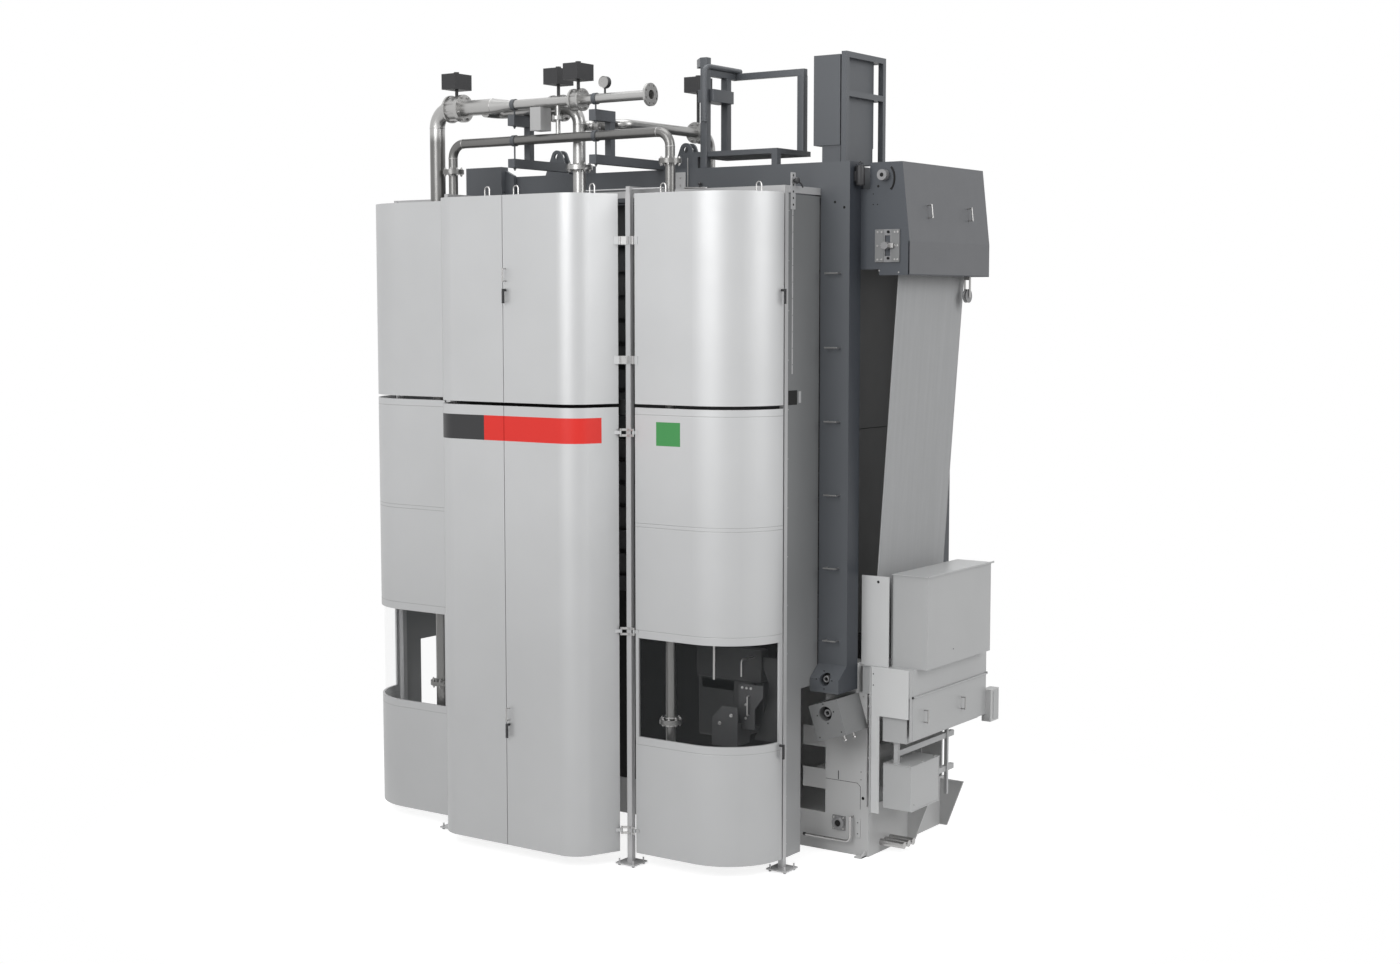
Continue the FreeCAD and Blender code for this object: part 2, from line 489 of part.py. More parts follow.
def hinge(name, side, kind, level, fixed):
    """The post half and the door half of one hinge."""
    d, y = AXES[kind]
    x = across(side, d)
    low, high = f"{level} - hinge_length / 2", f"{level} + hinge_length / 2"
    lower = (low, f"{low} + hinge_end")
    upper = (f"{high} - hinge_end", high)
    middle = (f"{low} + hinge_end + hinge_free", f"{high} - hinge_end - hinge_free")
    if kind == "center":
        arm = [(across(side, d), f"{y} - hinge_leaf / 2"), (across(side, f"{HALF} - post_wide / 4"), "post_y - post_wide / 2 - hinge_leaf"),
               (across(side, f"{HALF} + post_wide / 4"), "post_y - post_wide / 2 - hinge_leaf"),
               (across(side, f"{HALF} + post_wide / 4"), "post_y - post_wide / 2"),
               (across(side, f"{HALF} - post_wide / 2"), "post_y - post_wide / 2"),
               (across(side, d), f"{y} + hinge_leaf / 2")]
        end = (f"{HALF} - center_side_slot", "side_front - center_back")
        leaf = [(across(side, end[0]), end[1]),
                (across(side, f"{end[0]} - hinge_leaf_long * {SIN_SLANT}"), f"{end[1]} - hinge_leaf_long * {COS_SLANT}"),
                (across(side, f"{end[0]} - hinge_leaf_long * {SIN_SLANT} + hinge_leaf * {COS_SLANT}"),
                 f"{end[1]} - hinge_leaf_long * {COS_SLANT} - hinge_leaf * {SIN_SLANT}"),
                (across(side, d), f"{y} - hinge_leaf / 2"),
                (across(side, d), f"{y} + hinge_leaf / 2")]
    else:
        near = f"{HALF} + post_wide / 2"
        arm = [(across(side, near), f"{y} - hinge_leaf / 2"), (across(side, d), f"{y} - hinge_leaf / 2"),
               (across(side, d), f"{y} + hinge_leaf / 2"), (across(side, near), f"{y} + hinge_leaf / 2")]
        leaf = [(across(side, d), "side_front - hinge_leaf"),
                (across(side, f"{d} + hinge_leaf_long"), "side_front - hinge_leaf"),
                (across(side, f"{d} + hinge_leaf_long"), "side_front"), (across(side, d), "side_front")]
    if fixed:
        whole = (low, high)
        barrel = rod(name + "_barrel", "Z", "hinge_radius", x, y, whole)
        round_it = rod(name + "_clear", "Z", "hinge_radius + pipe_clear", x, y, whole)
        post_half = fuse(name + "_post", barrel, plate(name + "_arm", "XY", arm, *whole))
        return post_half, cut(name + "_door", plate(name + "_leaf", "XY", leaf, *whole), round_it)
    pin = rod(name + "_pin", "Z", "hinge_pin", x, y, (low, high))
    post_half = [pin]
    for index, part in enumerate((lower, upper)):
        post_half.append(rod(f"{name}_end{index}", "Z", "hinge_radius", x, y, part))
        post_half.append(plate(f"{name}_arm{index}", "XY", arm, *part))
    knuckle = rod(name + "_knuckle", "Z", "hinge_radius", x, y, middle)
    bore = rod(name + "_bore", "Z", "hinge_pin + pipe_clear", x, y, middle)
    door_half = cut(name + "_door", fuse(name + "_leafed", knuckle, plate(name + "_leaf", "XY", leaf, *middle)), bore)
    return fuse(name + "_post", *post_half), door_half


post_halves = []
upper_doors = []
for side, word in ((-1, "left"), (1, "right")):
    halves = {}
    posts = []
    for kind in ("center", "side"):
        for number, fixed in HINGES:
            on_post, on_door = hinge(f"{word}_{kind}_hinge_{number}", side, kind, f"hinge_{number}", fixed)
            posts.append(on_post)
            halves.setdefault((kind, fixed), []).append(on_door)
    post_halves += posts
    leaf = center_door(f"center_upper_{word}", side, "door_split + door_slot", "door_top")
    upper_doors.append(fuse(f"center_door_upper_{word}", leaf, *halves["center", True]))
    leaf = center_door(f"center_lower_{word}", side, "door_bottom", "door_split")
    node(fuse(f"center_door_lower_{word}", leaf, *halves["center", False]), f"center_door_lower_{word}")
    leaf = side_shell(f"{word}_upper", side, "0", "door_sheet", "door_split + door_slot", "door_top")
    upper_doors.append(fuse(f"{word}_door_upper", leaf, *halves["side", True]))
    opening = block(f"{word}_window_cut",
                    ordered(side, f"{HALF} + window_inset", f"{HALF} + flat_length + 2 * side_radius"),
                    ("side_front - side_radius", f"{SIDE_END} - window_end"), ("window_low", "window_high"))
    shell = side_shell(f"{word}_lower", side, "0", "door_sheet", "door_bottom", "door_split")
    leaf = cut(f"{word}_lower_cut", shell, opening)
    node(fuse(f"{word}_door_lower", leaf, *halves["side", False]), f"{word}_door_lower")
    skin = side_shell(f"{word}_pane_shell", side, "(door_sheet + pipe_clear)", "pane_sheet", "window_low - pane_lap",
                      "window_high + pane_lap")
    lapped = block(f"{word}_pane_span",
                   ordered(side, f"{HALF} + window_inset - pane_lap", f"{HALF} + flat_length + 2 * side_radius"),
                   ("side_front - side_radius", f"{SIDE_END} - window_end + pane_lap"),
                   ("window_low - 2 * pane_lap", "window_high + 2 * pane_lap"))
    node(common(f"{word}_window_pane", skin, lapped), f"{word}_window_pane")
node(group("upper_doors", *upper_doors), "upper_doors")
node(group("post_hinges", *post_halves), "post_hinges")


def lever(name, axis, x, y, z):
    """A clamping lever on its pivot: it hangs down at rest."""
    if axis == "-Y":
        pivot = rod(name + "_pivot", "Y", "lever_pivot", x, (f"{y} - lever_stand", y), z)
        arm = block(name + "_arm", (f"{x} - lever_wide / 2", f"{x} + lever_wide / 2"),
                    (f"{y} - lever_stand - lever_thick", f"{y} - lever_stand"),
                    (f"{z} - lever_length", f"{z} + lever_wide / 2"))
    else:
        pivot = rod(name + "_pivot", "X", "lever_pivot", (x, f"{x} + lever_stand"), y, z)
        arm = block(name + "_arm", (f"{x} + lever_stand", f"{x} + lever_stand + lever_thick"),
                    (f"{y} - lever_wide / 2", f"{y} + lever_wide / 2"),
                    (f"{z} - lever_length", f"{z} + lever_wide / 2"))
    return fuse(name, pivot, arm)


RIGHT_FACE = f"cabinet_x + {HALF} + flat_length + side_radius"
fixed_handles = [handle("center_handle_high", "-Y", "Z", across(1, "center_handle_x"), CENTER_FRONT, "center_handle_high")]
node(handle("center_handle_low", "-Y", "Z", across(1, "center_handle_x"), CENTER_FRONT, "center_handle_low"),
     "center_handle_low")
node(lever("center_lever_low", "-Y", across(1, "center_lever_x"), f"{CENTER_FRONT} - pipe_clear", "center_lever_low"),
     "center_lever_low")
node(lever("right_lever_low", "X", f"{RIGHT_FACE} + pipe_clear", f"{SIDE_END} - side_lever_back", "side_lever_low"),
     "right_lever_low")
node(group("upper_levers",
           lever("center_lever_high", "-Y", across(1, "center_lever_x"), CENTER_FRONT, "center_lever_high"),
           lever("right_lever_high", "X", RIGHT_FACE, f"{SIDE_END} - side_lever_back", "side_lever_high")),
     "upper_levers")

# Press frame: two long beams on four columns, each with a foot block that holds a bore.
FRAME_LEFT = "frame_x - frame_span / 2"
FRAME_RIGHT = "frame_x + frame_span / 2"
beams = []
columns = []
foot_blocks = []
for row, sign in (("front", -1), ("rear", 1)):
    face = f"press_y + {sign} * press_span / 2"
    inner = f"press_y + {sign} * (press_span / 2 - beam_deep)"
    stepped = f"press_y + {sign} * (press_span / 2 - beam_step)"

    def span(first, second):
        return (first, second) if sign < 0 else (second, first)

    middle = block(f"beam_{row}_bar", (f"{FRAME_LEFT} + beam_end", f"{FRAME_RIGHT} - beam_end"),
                   span(stepped, inner), ("beam_low", "beam_high"))
    ends = [
        block(f"beam_{row}_left", (FRAME_LEFT, f"{FRAME_LEFT} + beam_end"), span(face, inner),
              ("beam_low", "beam_high")),
        block(f"beam_{row}_right", (f"{FRAME_RIGHT} - beam_end", FRAME_RIGHT), span(face, inner),
              ("beam_low", "beam_high")),
    ]
    beams.append(fuse(f"beam_{row}", middle, *ends))
    for word, side in (("left", -1), ("right", 1)):
        outer = f"frame_x + {side} * frame_span / 2"
        inside = f"frame_x + {side} * (frame_span / 2 - column_wide)"
        x = (inside, outer) if side > 0 else (outer, inside)
        middle_x = f"frame_x + {side} * (frame_span / 2 - column_wide / 2)"
        shaft = block(f"column_{row}_{word}_shaft", x,
                      span(face, f"press_y + {sign} * (press_span / 2 - column_deep)"),
                      ("block_high", "beam_low"))
        columns.append(shaft)
        if row == "front" and word == "right":
            for index in range(int(value("step_count"))):
                level = f"step_first + {index} * step_pitch"
                bar = rod(f"step{index}_bar", "X", "step_tube",
                          (f"{middle_x} - step_length / 2", f"{middle_x} + step_length / 2"),
                          f"{face} - step_stand", level)
                legs = [rod(f"step{index}_leg{leg}", "Y", "step_tube * 0.8",
                            f"{middle_x} + {leg} * (step_length / 2 - step_tube)",
                            (f"{face} - step_stand", face), level) for leg in (-1, 1)]
                fixed_handles.append(fuse(f"step{index}", bar, *legs))
        # foot block under the column, with sloped shoulders and a bore that faces outwards
        reach = f"press_y + {sign} * (press_span / 2 + block_reach)"
        back = f"press_y + {sign} * (press_span / 2 - column_deep)"
        outline = [(reach, "block_low"), (back, "block_low"), (back, "block_high"), (face, "block_high"),
                   (reach, "block_high - block_slope")]
        foot = plate(f"foot_{row}_{word}", "YZ", outline, *x)
        bore = rod(f"foot_{row}_{word}_bore", "Y", "block_bore", middle_x,
                   span(reach, f"{reach} - {sign} * block_bore_deep"), "(block_low + block_high) / 2")
        foot_blocks.append(cut(f"foot_block_{row}_{word}", foot, bore))
node(group("press_columns", *columns), "press_columns")
node(group("foot_blocks", *foot_blocks), "foot_blocks")

# ties across the ends of the beams
tie_parts = []
for side in (-1, 1):
    outer = f"frame_x + {side} * (frame_span / 2 - column_wide)"
    inside = f"frame_x + {side} * (frame_span / 2 - column_wide - tie_plate)"
    x = (inside, outer) if side > 0 else (outer, inside)
    tie_parts.append(block(f"end_tie{side}", x, ("press_y - press_span / 2 + beam_deep", "press_y + press_span / 2 - beam_deep"),
                           ("top_plate_high", "beam_high")))
node(fuse("press_beams", *beams, *tie_parts), "press_beams")


def centered(middle, size):
    return (f"{middle} - ({size}) / 2", f"{middle} + ({size}) / 2")


# plate pack between its two heavy plates, which lie between the columns
PRESS_WIDE = "(frame_span - 2 * column_wide - 2 * press_side)"
PACK_WIDE = "(frame_span - 2 * column_wide - 2 * pack_side)"
heavy = [block(f"{name}_press_plate", centered("frame_x", PRESS_WIDE), centered("press_y", "press_plate_deep"), z)
         for name, z in (("top", ("top_plate_low", "top_plate_high")), ("low", ("low_plate_low", "low_plate_high")))]
core = block("pack_core_block", centered("frame_x", f"{PACK_WIDE} - 2 * pack_core"),
             centered("press_y", "pack_deep - 2 * pack_core"), ("low_plate_high", "top_plate_low"))
plates = [block(f"pack_plate{index}", centered("frame_x", PACK_WIDE), centered("press_y", "pack_deep"),
                (f"pack_low + {index} * pack_pitch", f"pack_low + {index} * pack_pitch + pack_plate"))
          for index in range(int(value("(pack_high - pack_low) / pack_pitch")))]
node(fuse("plate_pack", *heavy, core, *plates), "plate_pack")

BASE_LEFT = "(frame_x - frame_span / 2 - base_over)"
BASE_RIGHT = "(frame_x + frame_span / 2 + base_over)"

# Base: a front and a rear plate with a tower at the right, cross members, rollers and blocks.
base_plates = []
for row, sign in (("front", -1), ("rear", 1)):
    outer = f"press_y + {sign} * (press_y - base_y)"
    inner = f"press_y + {sign} * (press_y - base_y - base_sheet)"
    y = (outer, inner) if sign < 0 else (inner, outer)
    outline = [
        (BASE_LEFT, "0"), (BASE_RIGHT, "0"), (BASE_RIGHT, "base_high"),
        (f"{BASE_RIGHT} - base_tower", "base_high"), (f"{BASE_RIGHT} - base_tower", "base_low_high"),
        (f"{BASE_LEFT} + base_tower", "base_low_high"), (f"{BASE_LEFT} + base_tower", "base_high"),
        (BASE_LEFT, "base_high"),
    ]
    sheet_parts = [plate(f"base_plate_{row}", "XZ", outline, *y)]
    holder = (inner, f"{inner} - {sign} * roller_sheet") if sign < 0 else (f"{inner} - {sign} * roller_sheet", inner)
    for index in range(2):
        level = f"roller_low + {index} * roller_pitch"
        sheet_parts.append(block(f"roller_holder_{row}{index}", ("roller_x - roller_plate / 2", f"{BASE_RIGHT} - base_tower / 2"),
                                 holder, centered(level, "roller_plate")))
    base_plates.append(fuse(f"base_wall_{row}", *sheet_parts))
node(group("base_plates", *base_plates), "base_plates")
base_inside = ("base_y + base_sheet", "2 * press_y - base_y - base_sheet")
crosses = [block(f"cross{index}", x, base_inside, ("cross_low", "cross_low + cross_high"))
           for index, x in enumerate(((BASE_LEFT, f"{BASE_LEFT} + cross_wide"),
                                      (f"{BASE_RIGHT} - cross_wide", BASE_RIGHT)))]
carriers = [block(f"carrier{index}", x, base_inside, ("base_high - cross_high", "base_high"))
            for index, x in enumerate(((BASE_LEFT, f"{BASE_LEFT} + cross_wide"),
                                       (f"{BASE_RIGHT} - cross_wide", BASE_RIGHT)))]
thrust = []
for row, sign in (("front", -1), ("rear", 1)):
    near = f"press_y + {sign} * (press_span / 2 - column_deep)"
    far = f"press_y + {sign} * (press_span / 2 - column_deep - thrust_deep)"
    y = (near, far) if sign < 0 else (far, near)
    for word, side in (("left", -1), ("right", 1)):
        x = centered(f"frame_x + {side} * (frame_span / 2 - column_wide / 2)", "column_wide")
        thrust.append(block(f"thrust_{row}_{word}", x, y, ("base_high", "block_high")))
node(fuse("base_cross_members", *crosses, *carriers, *thrust), "base_cross_members")

rollers = []
for index in range(2):
    level = f"roller_low + {index} * roller_pitch"
    drum = rod(f"roller{index}_drum", "Y", "roller_radius", "roller_x",
               ("base_y + base_sheet + roller_sheet + roller_gap",
                "2 * press_y - base_y - base_sheet - roller_sheet - roller_gap"), level)
    shaft = rod(f"roller{index}_shaft", "Y", "roller_shaft", "roller_x",
                ("base_y + base_sheet + roller_sheet", "2 * press_y - base_y - base_sheet - roller_sheet"), level)
    rollers.append(fuse(f"roller{index}", drum, shaft))
rollers.append(rod("guide_roller", "Y", "guide_radius", "guide_x",
                   ("hood_front + hood_sheet", "hood_back - hood_sheet"), "guide_z"))
node(group("rollers", *rollers), "rollers")

flange = block("bearing_flange", centered("bearing_x", "bearing_plate"), ("base_y - bearing_plate_thick", "base_y"),
               centered("bearing_z", "bearing_plate"))
boss = rod("bearing_boss", "Y", "bearing_radius", "bearing_x", ("base_y - bearing_thick", "base_y"), "bearing_z")
hole = rod("bearing_hole", "Y", "bearing_bore", "bearing_x", ("base_y - 2 * bearing_thick", "base_y"), "bearing_z")
hood_boss = rod("hood_bearing", "Y", "hood_bearing_radius", "hood_bearing_x",
                ("hood_front - hood_bearing_reach", "hood_front"), "hood_bearing_z")
node(group("bearings", cut("flange_bearing", fuse("bearing_solid", flange, boss), hole), hood_boss), "bearings")

tilted = []
for row, sign in (("front", 1), ("rear", -1)):
    near = "tilt_front" if sign > 0 else "2 * press_y - tilt_front"
    far = "base_y" if sign > 0 else "2 * press_y - base_y"
    deep = f"tilt_front + tilt_bore_deep" if sign > 0 else "2 * press_y - tilt_front - tilt_bore_deep"
    y = (near, far) if sign > 0 else (far, near)
    bore_y = (near, deep) if sign > 0 else (deep, near)
    solid = block(f"tilt_{row}_solid", centered("0", "tilt_wide"), y, centered("0", "tilt_high"))
    bore = rod(f"tilt_{row}_bore", "Y", "tilt_bore", "0", bore_y, "tilt_bore_up")
    turned = cut(f"tilt_block_{row}", solid, bore)
    turned.Placement = Placement(Vector(), Rotation(Vector(0, 1, 0), -value("tilt_angle")))
    bind(turned, "Placement.Base.x", "tilt_x")
    bind(turned, "Placement.Base.z", "tilt_z")
    tilted.append(turned)
node(group("tilted_blocks", *tilted), "tilted_blocks")

# bent tube handle in front of the base plate
pull_y = "base_y - pull_stand"
low_run = rod("pull_low_run", "X", "pull_tube", ("pull_left", "pull_right - pull_radius"), pull_y, "pull_low")
corner = bend("pull_corner", Rotation(Vector(1, 0, 0), 90), "pull_radius", "pull_tube",
              "pull_right - pull_radius", pull_y, "pull_low + pull_radius")
corner.Placement = Placement(Vector(), Rotation(Vector(1, 0, 0), 90) * Rotation(Vector(0, 0, 1), -90))
place(corner, "pull_right - pull_radius", pull_y, "pull_low + pull_radius")
upright = rod("pull_upright", "Z", "pull_tube", "pull_right", pull_y, ("pull_low + pull_radius", "pull_top"))
seat = rod("pull_seat", "Y", "pull_tube * 0.8", "pull_right", (pull_y, "base_y"), "pull_top - pull_tube")
fixed_handles.append(fuse("pull_handle", low_run, corner, upright, seat))

# Hood at the top right: two side plates and a folded cover.
side_outline = [
    ("hood_neck", "hood_top"), ("hood_neck", "hood_neck_low"), ("frame_x + frame_span / 2", "hood_neck_low"),
    ("frame_x + frame_span / 2", "beam_low"), ("hood_root", "beam_low"), ("hood_root", "hood_step"), ("hood_step_x", "hood_step"), ("hood_step_x", "hood_low"),
    ("hood_out", "hood_low"), ("hood_out", "hood_crease"), ("hood_right", "hood_top"),
]
hood = []
for row, low, high in (("front", "hood_front", "hood_front + hood_sheet"),
                       ("rear", "hood_back - hood_sheet", "hood_back")):
    hood.append(plate(f"hood_side_{row}", "XZ", side_outline, low, high))
cover_outline = [
    ("hood_neck", "hood_top"), ("hood_right", "hood_top"), ("hood_out", "hood_crease"),
    ("hood_out", "hood_low"), ("hood_out - hood_sheet", "hood_low"),
    ("hood_out - hood_sheet", "hood_crease"), ("hood_right - hood_sheet", "hood_top - hood_sheet"),
    ("hood_neck", "hood_top - hood_sheet"),
]
hood.append(plate("hood_cover", "XZ", cover_outline, "hood_front + hood_sheet", "hood_back - hood_sheet"))
node(fuse("hood", *hood), "hood")
for index, y in enumerate(("hood_front + hood_handle_in", "hood_back - hood_handle_in")):
    grip = handle(f"hood_handle{index}", "X", "Z", "0", "0", "0")
    grip.Placement = Placement(Vector(), Rotation(Vector(0, -1, 0), -1))
    bind(grip, "Placement.Rotation.Angle", "atan((hood_out - hood_right) / (hood_top - hood_crease))")
    place(grip, "hood_right + (hood_out - hood_right) * (hood_top - hood_handle_z) / (hood_top - hood_crease)",
          y, "hood_handle_z")
    fixed_handles.append(grip)
adjust_plate = block("adjust_plate", ("adjust_left", "adjust_right"), ("hood_front - adjust_thick", "hood_front"),
                     ("adjust_low", "adjust_high"))
slot = block("adjust_slot_cut", centered("(adjust_left + adjust_right) / 2", "adjust_slot"),
             ("hood_front - 2 * adjust_thick", "hood_front"), ("adjust_low + adjust_slot", "adjust_high - adjust_slot"))
knob = rod("adjust_knob_rod", "Y", "adjust_knob", "(adjust_left + adjust_right) / 2",
           ("hood_front - adjust_reach", "hood_front"), "(adjust_low + adjust_high) / 2")
node(fuse("hood_adjuster", cut("adjust_slotted", adjust_plate, slot), knob), "hood_adjuster")

# hanging pulley under the hood, free to turn on its pin
wheel = revolved("hanging_pulley_wheel", [
    ("-pulley_thick / 2", "pulley_bore"), ("pulley_thick / 2", "pulley_bore"),
    ("pulley_thick / 2", "pulley_radius"), ("pulley_groove", "pulley_radius"),
    ("0", "pulley_radius - pulley_groove"), ("-pulley_groove", "pulley_radius"),
    ("-pulley_thick / 2", "pulley_radius"),
], "pulley_x", "pulley_y", "pulley_z")
node(wheel, "hanging_pulley")
cheek = "(pulley_thick / 2 + hanger_side)"
cheeks = [block(f"hanger_cheek{index}", pair, centered("pulley_y", "hanger_wide"),
                ("pulley_z - hanger_wide / 2", "hood_low"))
          for index, pair in enumerate(((f"pulley_x - {cheek} - hanger_sheet", f"pulley_x - {cheek}"),
                                        (f"pulley_x + {cheek}", f"pulley_x + {cheek} + hanger_sheet")))]
bridge = block("hanger_bridge", (f"pulley_x - {cheek} - hanger_sheet", f"pulley_x + {cheek} + hanger_sheet"),
               centered("pulley_y", "hanger_wide"), ("hood_low - hanger_wide", "hood_low"))
pin = rod("hanger_pin", "X", "pulley_pin", (f"pulley_x - {cheek} - hanger_sheet", f"pulley_x + {cheek} + hanger_sheet"),
          "pulley_y", "pulley_z")
cross = block("hanger_bar", ("pulley_x - hanger_wide / 2", "hood_out - hood_sheet"), centered("pulley_y", "hanger_wide"),
              ("hood_low", "hood_low + hanger_sheet"))
node(fuse("pulley_hanger", *cheeks, bridge, pin, cross), "pulley_hanger")

# filter cloth: the straight run from the guide roller down into the washing unit
node(plate("filter_cloth", "XZ", [
    ("cloth_low_x", "cloth_low_z"), ("cloth_low_x + cloth_thick", "cloth_low_z"),
    ("cloth_top_x + cloth_thick", "cloth_top_z"), ("cloth_top_x", "cloth_top_z"),
], "cloth_front", "cloth_back"), "filter_cloth")

# Washing unit at the lower right.
sump = block("sump_body", ("sump_left", "sump_right"), ("sump_front", "sump_back"), ("wide_high", "sump_high"))
lid = block("sump_lid", ("lid_left", "sump_right + lid_over"), ("sump_front - lid_over", "sump_back + lid_over"),
            ("sump_high", "sump_high + lid_thick"))
node(fuse("sump_box", sump, lid), "sump_box")
wide = block("wash_wide", ("wide_left", "wide_right"), ("wide_front", "wide_back"), ("wide_low", "wide_high"))
pan = block("wash_pan", ("pan_left", "pan_right - cover_thick"), ("wash_front", "pan_back"), ("pan_low", "wide_low"))
node(fuse("wash_housing", wide, pan), "wash_housing")
cover = block("cover_panel", ("wide_right - cover_thick", "wide_right"), ("wide_front", "wide_back"), ("cover_low", "wide_low"))
grips = [handle(f"cover_handle{index}", "X", "Z", "wide_right", y, "cover_handle_z")
         for index, y in enumerate(("cover_handle_one", "cover_handle_two"))]
fixed_handles += grips
node(cover, "wash_cover")
upright_plate = block("wash_upright", ("upright_left", "upright_right"), ("wash_front", "wash_front + wash_sheet"),
                      ("wide_high", "upright_high"))
leg_plate = plate("leg_plate", "XZ", [
    ("leg_left", "leg_low"), ("leg_inner", "leg_low"), ("leg_inner", "leg_mid"), ("leg_right", "leg_mid"),
    ("leg_right", "leg_high"), ("leg_left", "leg_high"),
], "leg_front", "leg_front + leg_sheet")
node(group("wash_plates", upright_plate, leg_plate), "wash_plates")
node(block("low_box", ("box_left", "box_right"), ("box_front", "box_back"), ("box_low", "box_high")), "low_box")
upper_rail = block("wash_rail_upper", centered("rail_x", "rail_deep"), ("box_front + rail_deep", "rail_back"),
                   ("rail_z", "rail_z + rail_high"))
lower_rail = block("wash_rail_lower", centered("rail_x", "rail_deep"), ("box_back", "rail_back"),
                   ("rail_low_z", "rail_low_z + rail_high"))
hanger = block("wash_hanger", centered("rail_x", "rail_deep"), ("box_front + rail_deep", "box_front + 2 * rail_deep"),
               ("box_high", "pan_low"))
thin = block("wash_thin_post", ("rail_x", "rail_x + thin_post"), centered("thin_post_y", "thin_post"),
             ("thin_post_low", "pan_low"))
node(fuse("wash_rails", upper_rail, lower_rail, hanger, thin), "wash_rails")
skirt = block("skirt", (BASE_RIGHT, f"{BASE_RIGHT} + gusset_thick"), ("base_y", "2 * press_y - base_y"),
              ("0", "skirt_high"))
feet = []
for index, y in enumerate(("gusset_one", "gusset_two")):
    outline = [(BASE_RIGHT, "0"), (f"{BASE_RIGHT} + gusset_top", "0"), (f"{BASE_RIGHT} + gusset_reach", "gusset_high"),
               (BASE_RIGHT, "gusset_high")]
    feet.append(plate(f"gusset{index}", "XZ", outline, y, f"{y} + gusset_thick"))
node(fuse("wash_feet", skirt, *feet), "wash_feet")
node(block("end_bracket", ("bracket_left", "bracket_left + bracket_wide"), ("bracket_front", "bracket_back"),
           ("bracket_low", "bracket_high")), "end_bracket")
stubs = []
for index in range(3):
    y = f"stub_y + {index} * stub_pitch"
    stubs.append(rod(f"stub{index}", "X", "stub_radius", (f"{BASE_RIGHT} + gusset_thick", f"{BASE_RIGHT} + gusset_thick + stub_length"), y, "stub_z"))
node(group("drain_stubs", *stubs), "drain_stubs")

# Top of the press: platform, gantry, tower box with its guard, lugs and keepers.
legs = [block(f"platform_leg{index}", x, ("platform_front", "platform_front + platform_leg"), ("beam_high", "platform_low"))
        for index, x in enumerate((("platform_left", "platform_left + platform_leg"),
                                   ("platform_right - platform_leg", "platform_right")))]
deck = block("platform_deck", ("platform_left", "platform_right"), ("platform_front", "platform_front + platform_deep"),
             ("platform_low", "platform_low + platform_thick"))
node(fuse("platform", deck, *legs), "platform")


def square(name, x, y, z, wide="gantry_wide"):
    return block(name, centered(x, wide), centered(y, wide), z)


beam_z = ("gantry_high - gantry_beam", "gantry_high")
head = block("gantry_head_block", centered("gantry_x", "gantry_head"), centered("gantry_y", "gantry_head"),
             ("gantry_high - gantry_beam - gantry_drop", "gantry_high"))
front_post = square("gantry_front_post", "gantry_x", "gantry_y", ("beam_high", "gantry_high"))
back_beam = block("gantry_back_beam", centered("gantry_x", "gantry_beam"),
                  ("gantry_y", "gantry_y + gantry_run + gantry_beam / 2"), beam_z)
side_beam = block("gantry_side_beam", ("gantry_x", "gantry_third_x + gantry_beam / 2"),
                  centered("gantry_y + gantry_run", "gantry_beam"), beam_z)
second_post = square("gantry_second_post", "gantry_x", "gantry_y + gantry_second",
                     ("platform_low + platform_thick", "gantry_high - gantry_beam"))
third_post = square("gantry_third_post", "gantry_third_x", "gantry_y + gantry_run",
                    ("platform_low + platform_thick", "gantry_high - gantry_beam"))
link = block("gantry_link", centered("gantry_x", "gantry_head"),
             ("gantry_y", "gantry_y + gantry_second"), ("gantry_link_low", "gantry_link_high"))
notch = block("gantry_notch", ("platform_left - platform_leg", "platform_right + platform_leg"),
              ("platform_front - platform_leg", "platform_front + platform_deep + platform_leg"),
              ("platform_low", "platform_low + platform_thick"))
node(cut("gantry", fuse("gantry_solid", front_post, head, back_beam, side_beam, second_post, third_post, link), notch), "gantry")
node(fuse("tower", block("tower_body", ("tower_left", "tower_right"), ("tower_front", "tower_back"),
                         ("tower_low", "tower_high")),
          block("tower_foot", ("tower_foot_left", "tower_right"),
                ("tower_front + guard_gap", "tower_back - guard_gap"), ("beam_high", "tower_low"))), "tower_box")
guard_parts = []
for index, (x, y) in enumerate((("tower_right + guard_gap", "tower_front"),
                                ("tower_right + guard_gap", "guard_back"),
                                ("tower_left - guard_gap - guard_angle", "guard_back"))):
    guard_parts.append(block(f"guard_post{index}", (x, f"{x} + guard_angle"), (y, f"{y} + guard_angle"),
                             ("beam_high", "guard_high")))
for index, z in enumerate(("guard_mid", "guard_high - guard_angle")):
    guard_parts.append(block(f"guard_side{index}", ("tower_right + guard_gap", "tower_right + guard_gap + guard_angle"),
                             ("tower_front", "guard_back + guard_angle"), (z, f"{z} + guard_angle")))
    guard_parts.append(block(f"guard_back{index}", ("tower_left - guard_gap - guard_angle",
                                                    "tower_right + guard_gap + guard_angle"),
                             ("guard_back", "guard_back + guard_angle"), (z, f"{z} + guard_angle")))
node(fuse("guard_frame", *guard_parts), "guard_frame")
lugs = []
for word in ("one", "two"):
    eye = f"lug_{word}"
    bore_z = "beam_high + lug_high - lug_round"
    crown = f"{bore_z} + sqrt(lug_round * lug_round - lug_crown * lug_crown)"
    for index, sign in enumerate((-1, 1)):
        middle = f"lug_y + {sign} * lug_apart / 2"
        cheek = plate(f"lug_{word}_cheek{index}", "XZ", [
            (f"{eye} - lug_wide / 2", "beam_high"), (f"{eye} + lug_wide / 2", "beam_high"),
            (f"{eye} + lug_crown", crown), (f"{eye} - lug_crown", crown, "lug_round", 1),
        ], *centered(middle, "lug_sheet"))
        bore = rod(f"lug_{word}_bore{index}", "Y", "lug_bore", eye, centered(middle, "2 * lug_sheet"), bore_z)
        lugs.append(cut(f"lug_{word}_plate{index}", cheek, bore))
beam_front_face = "press_y - press_span / 2 + beam_step"
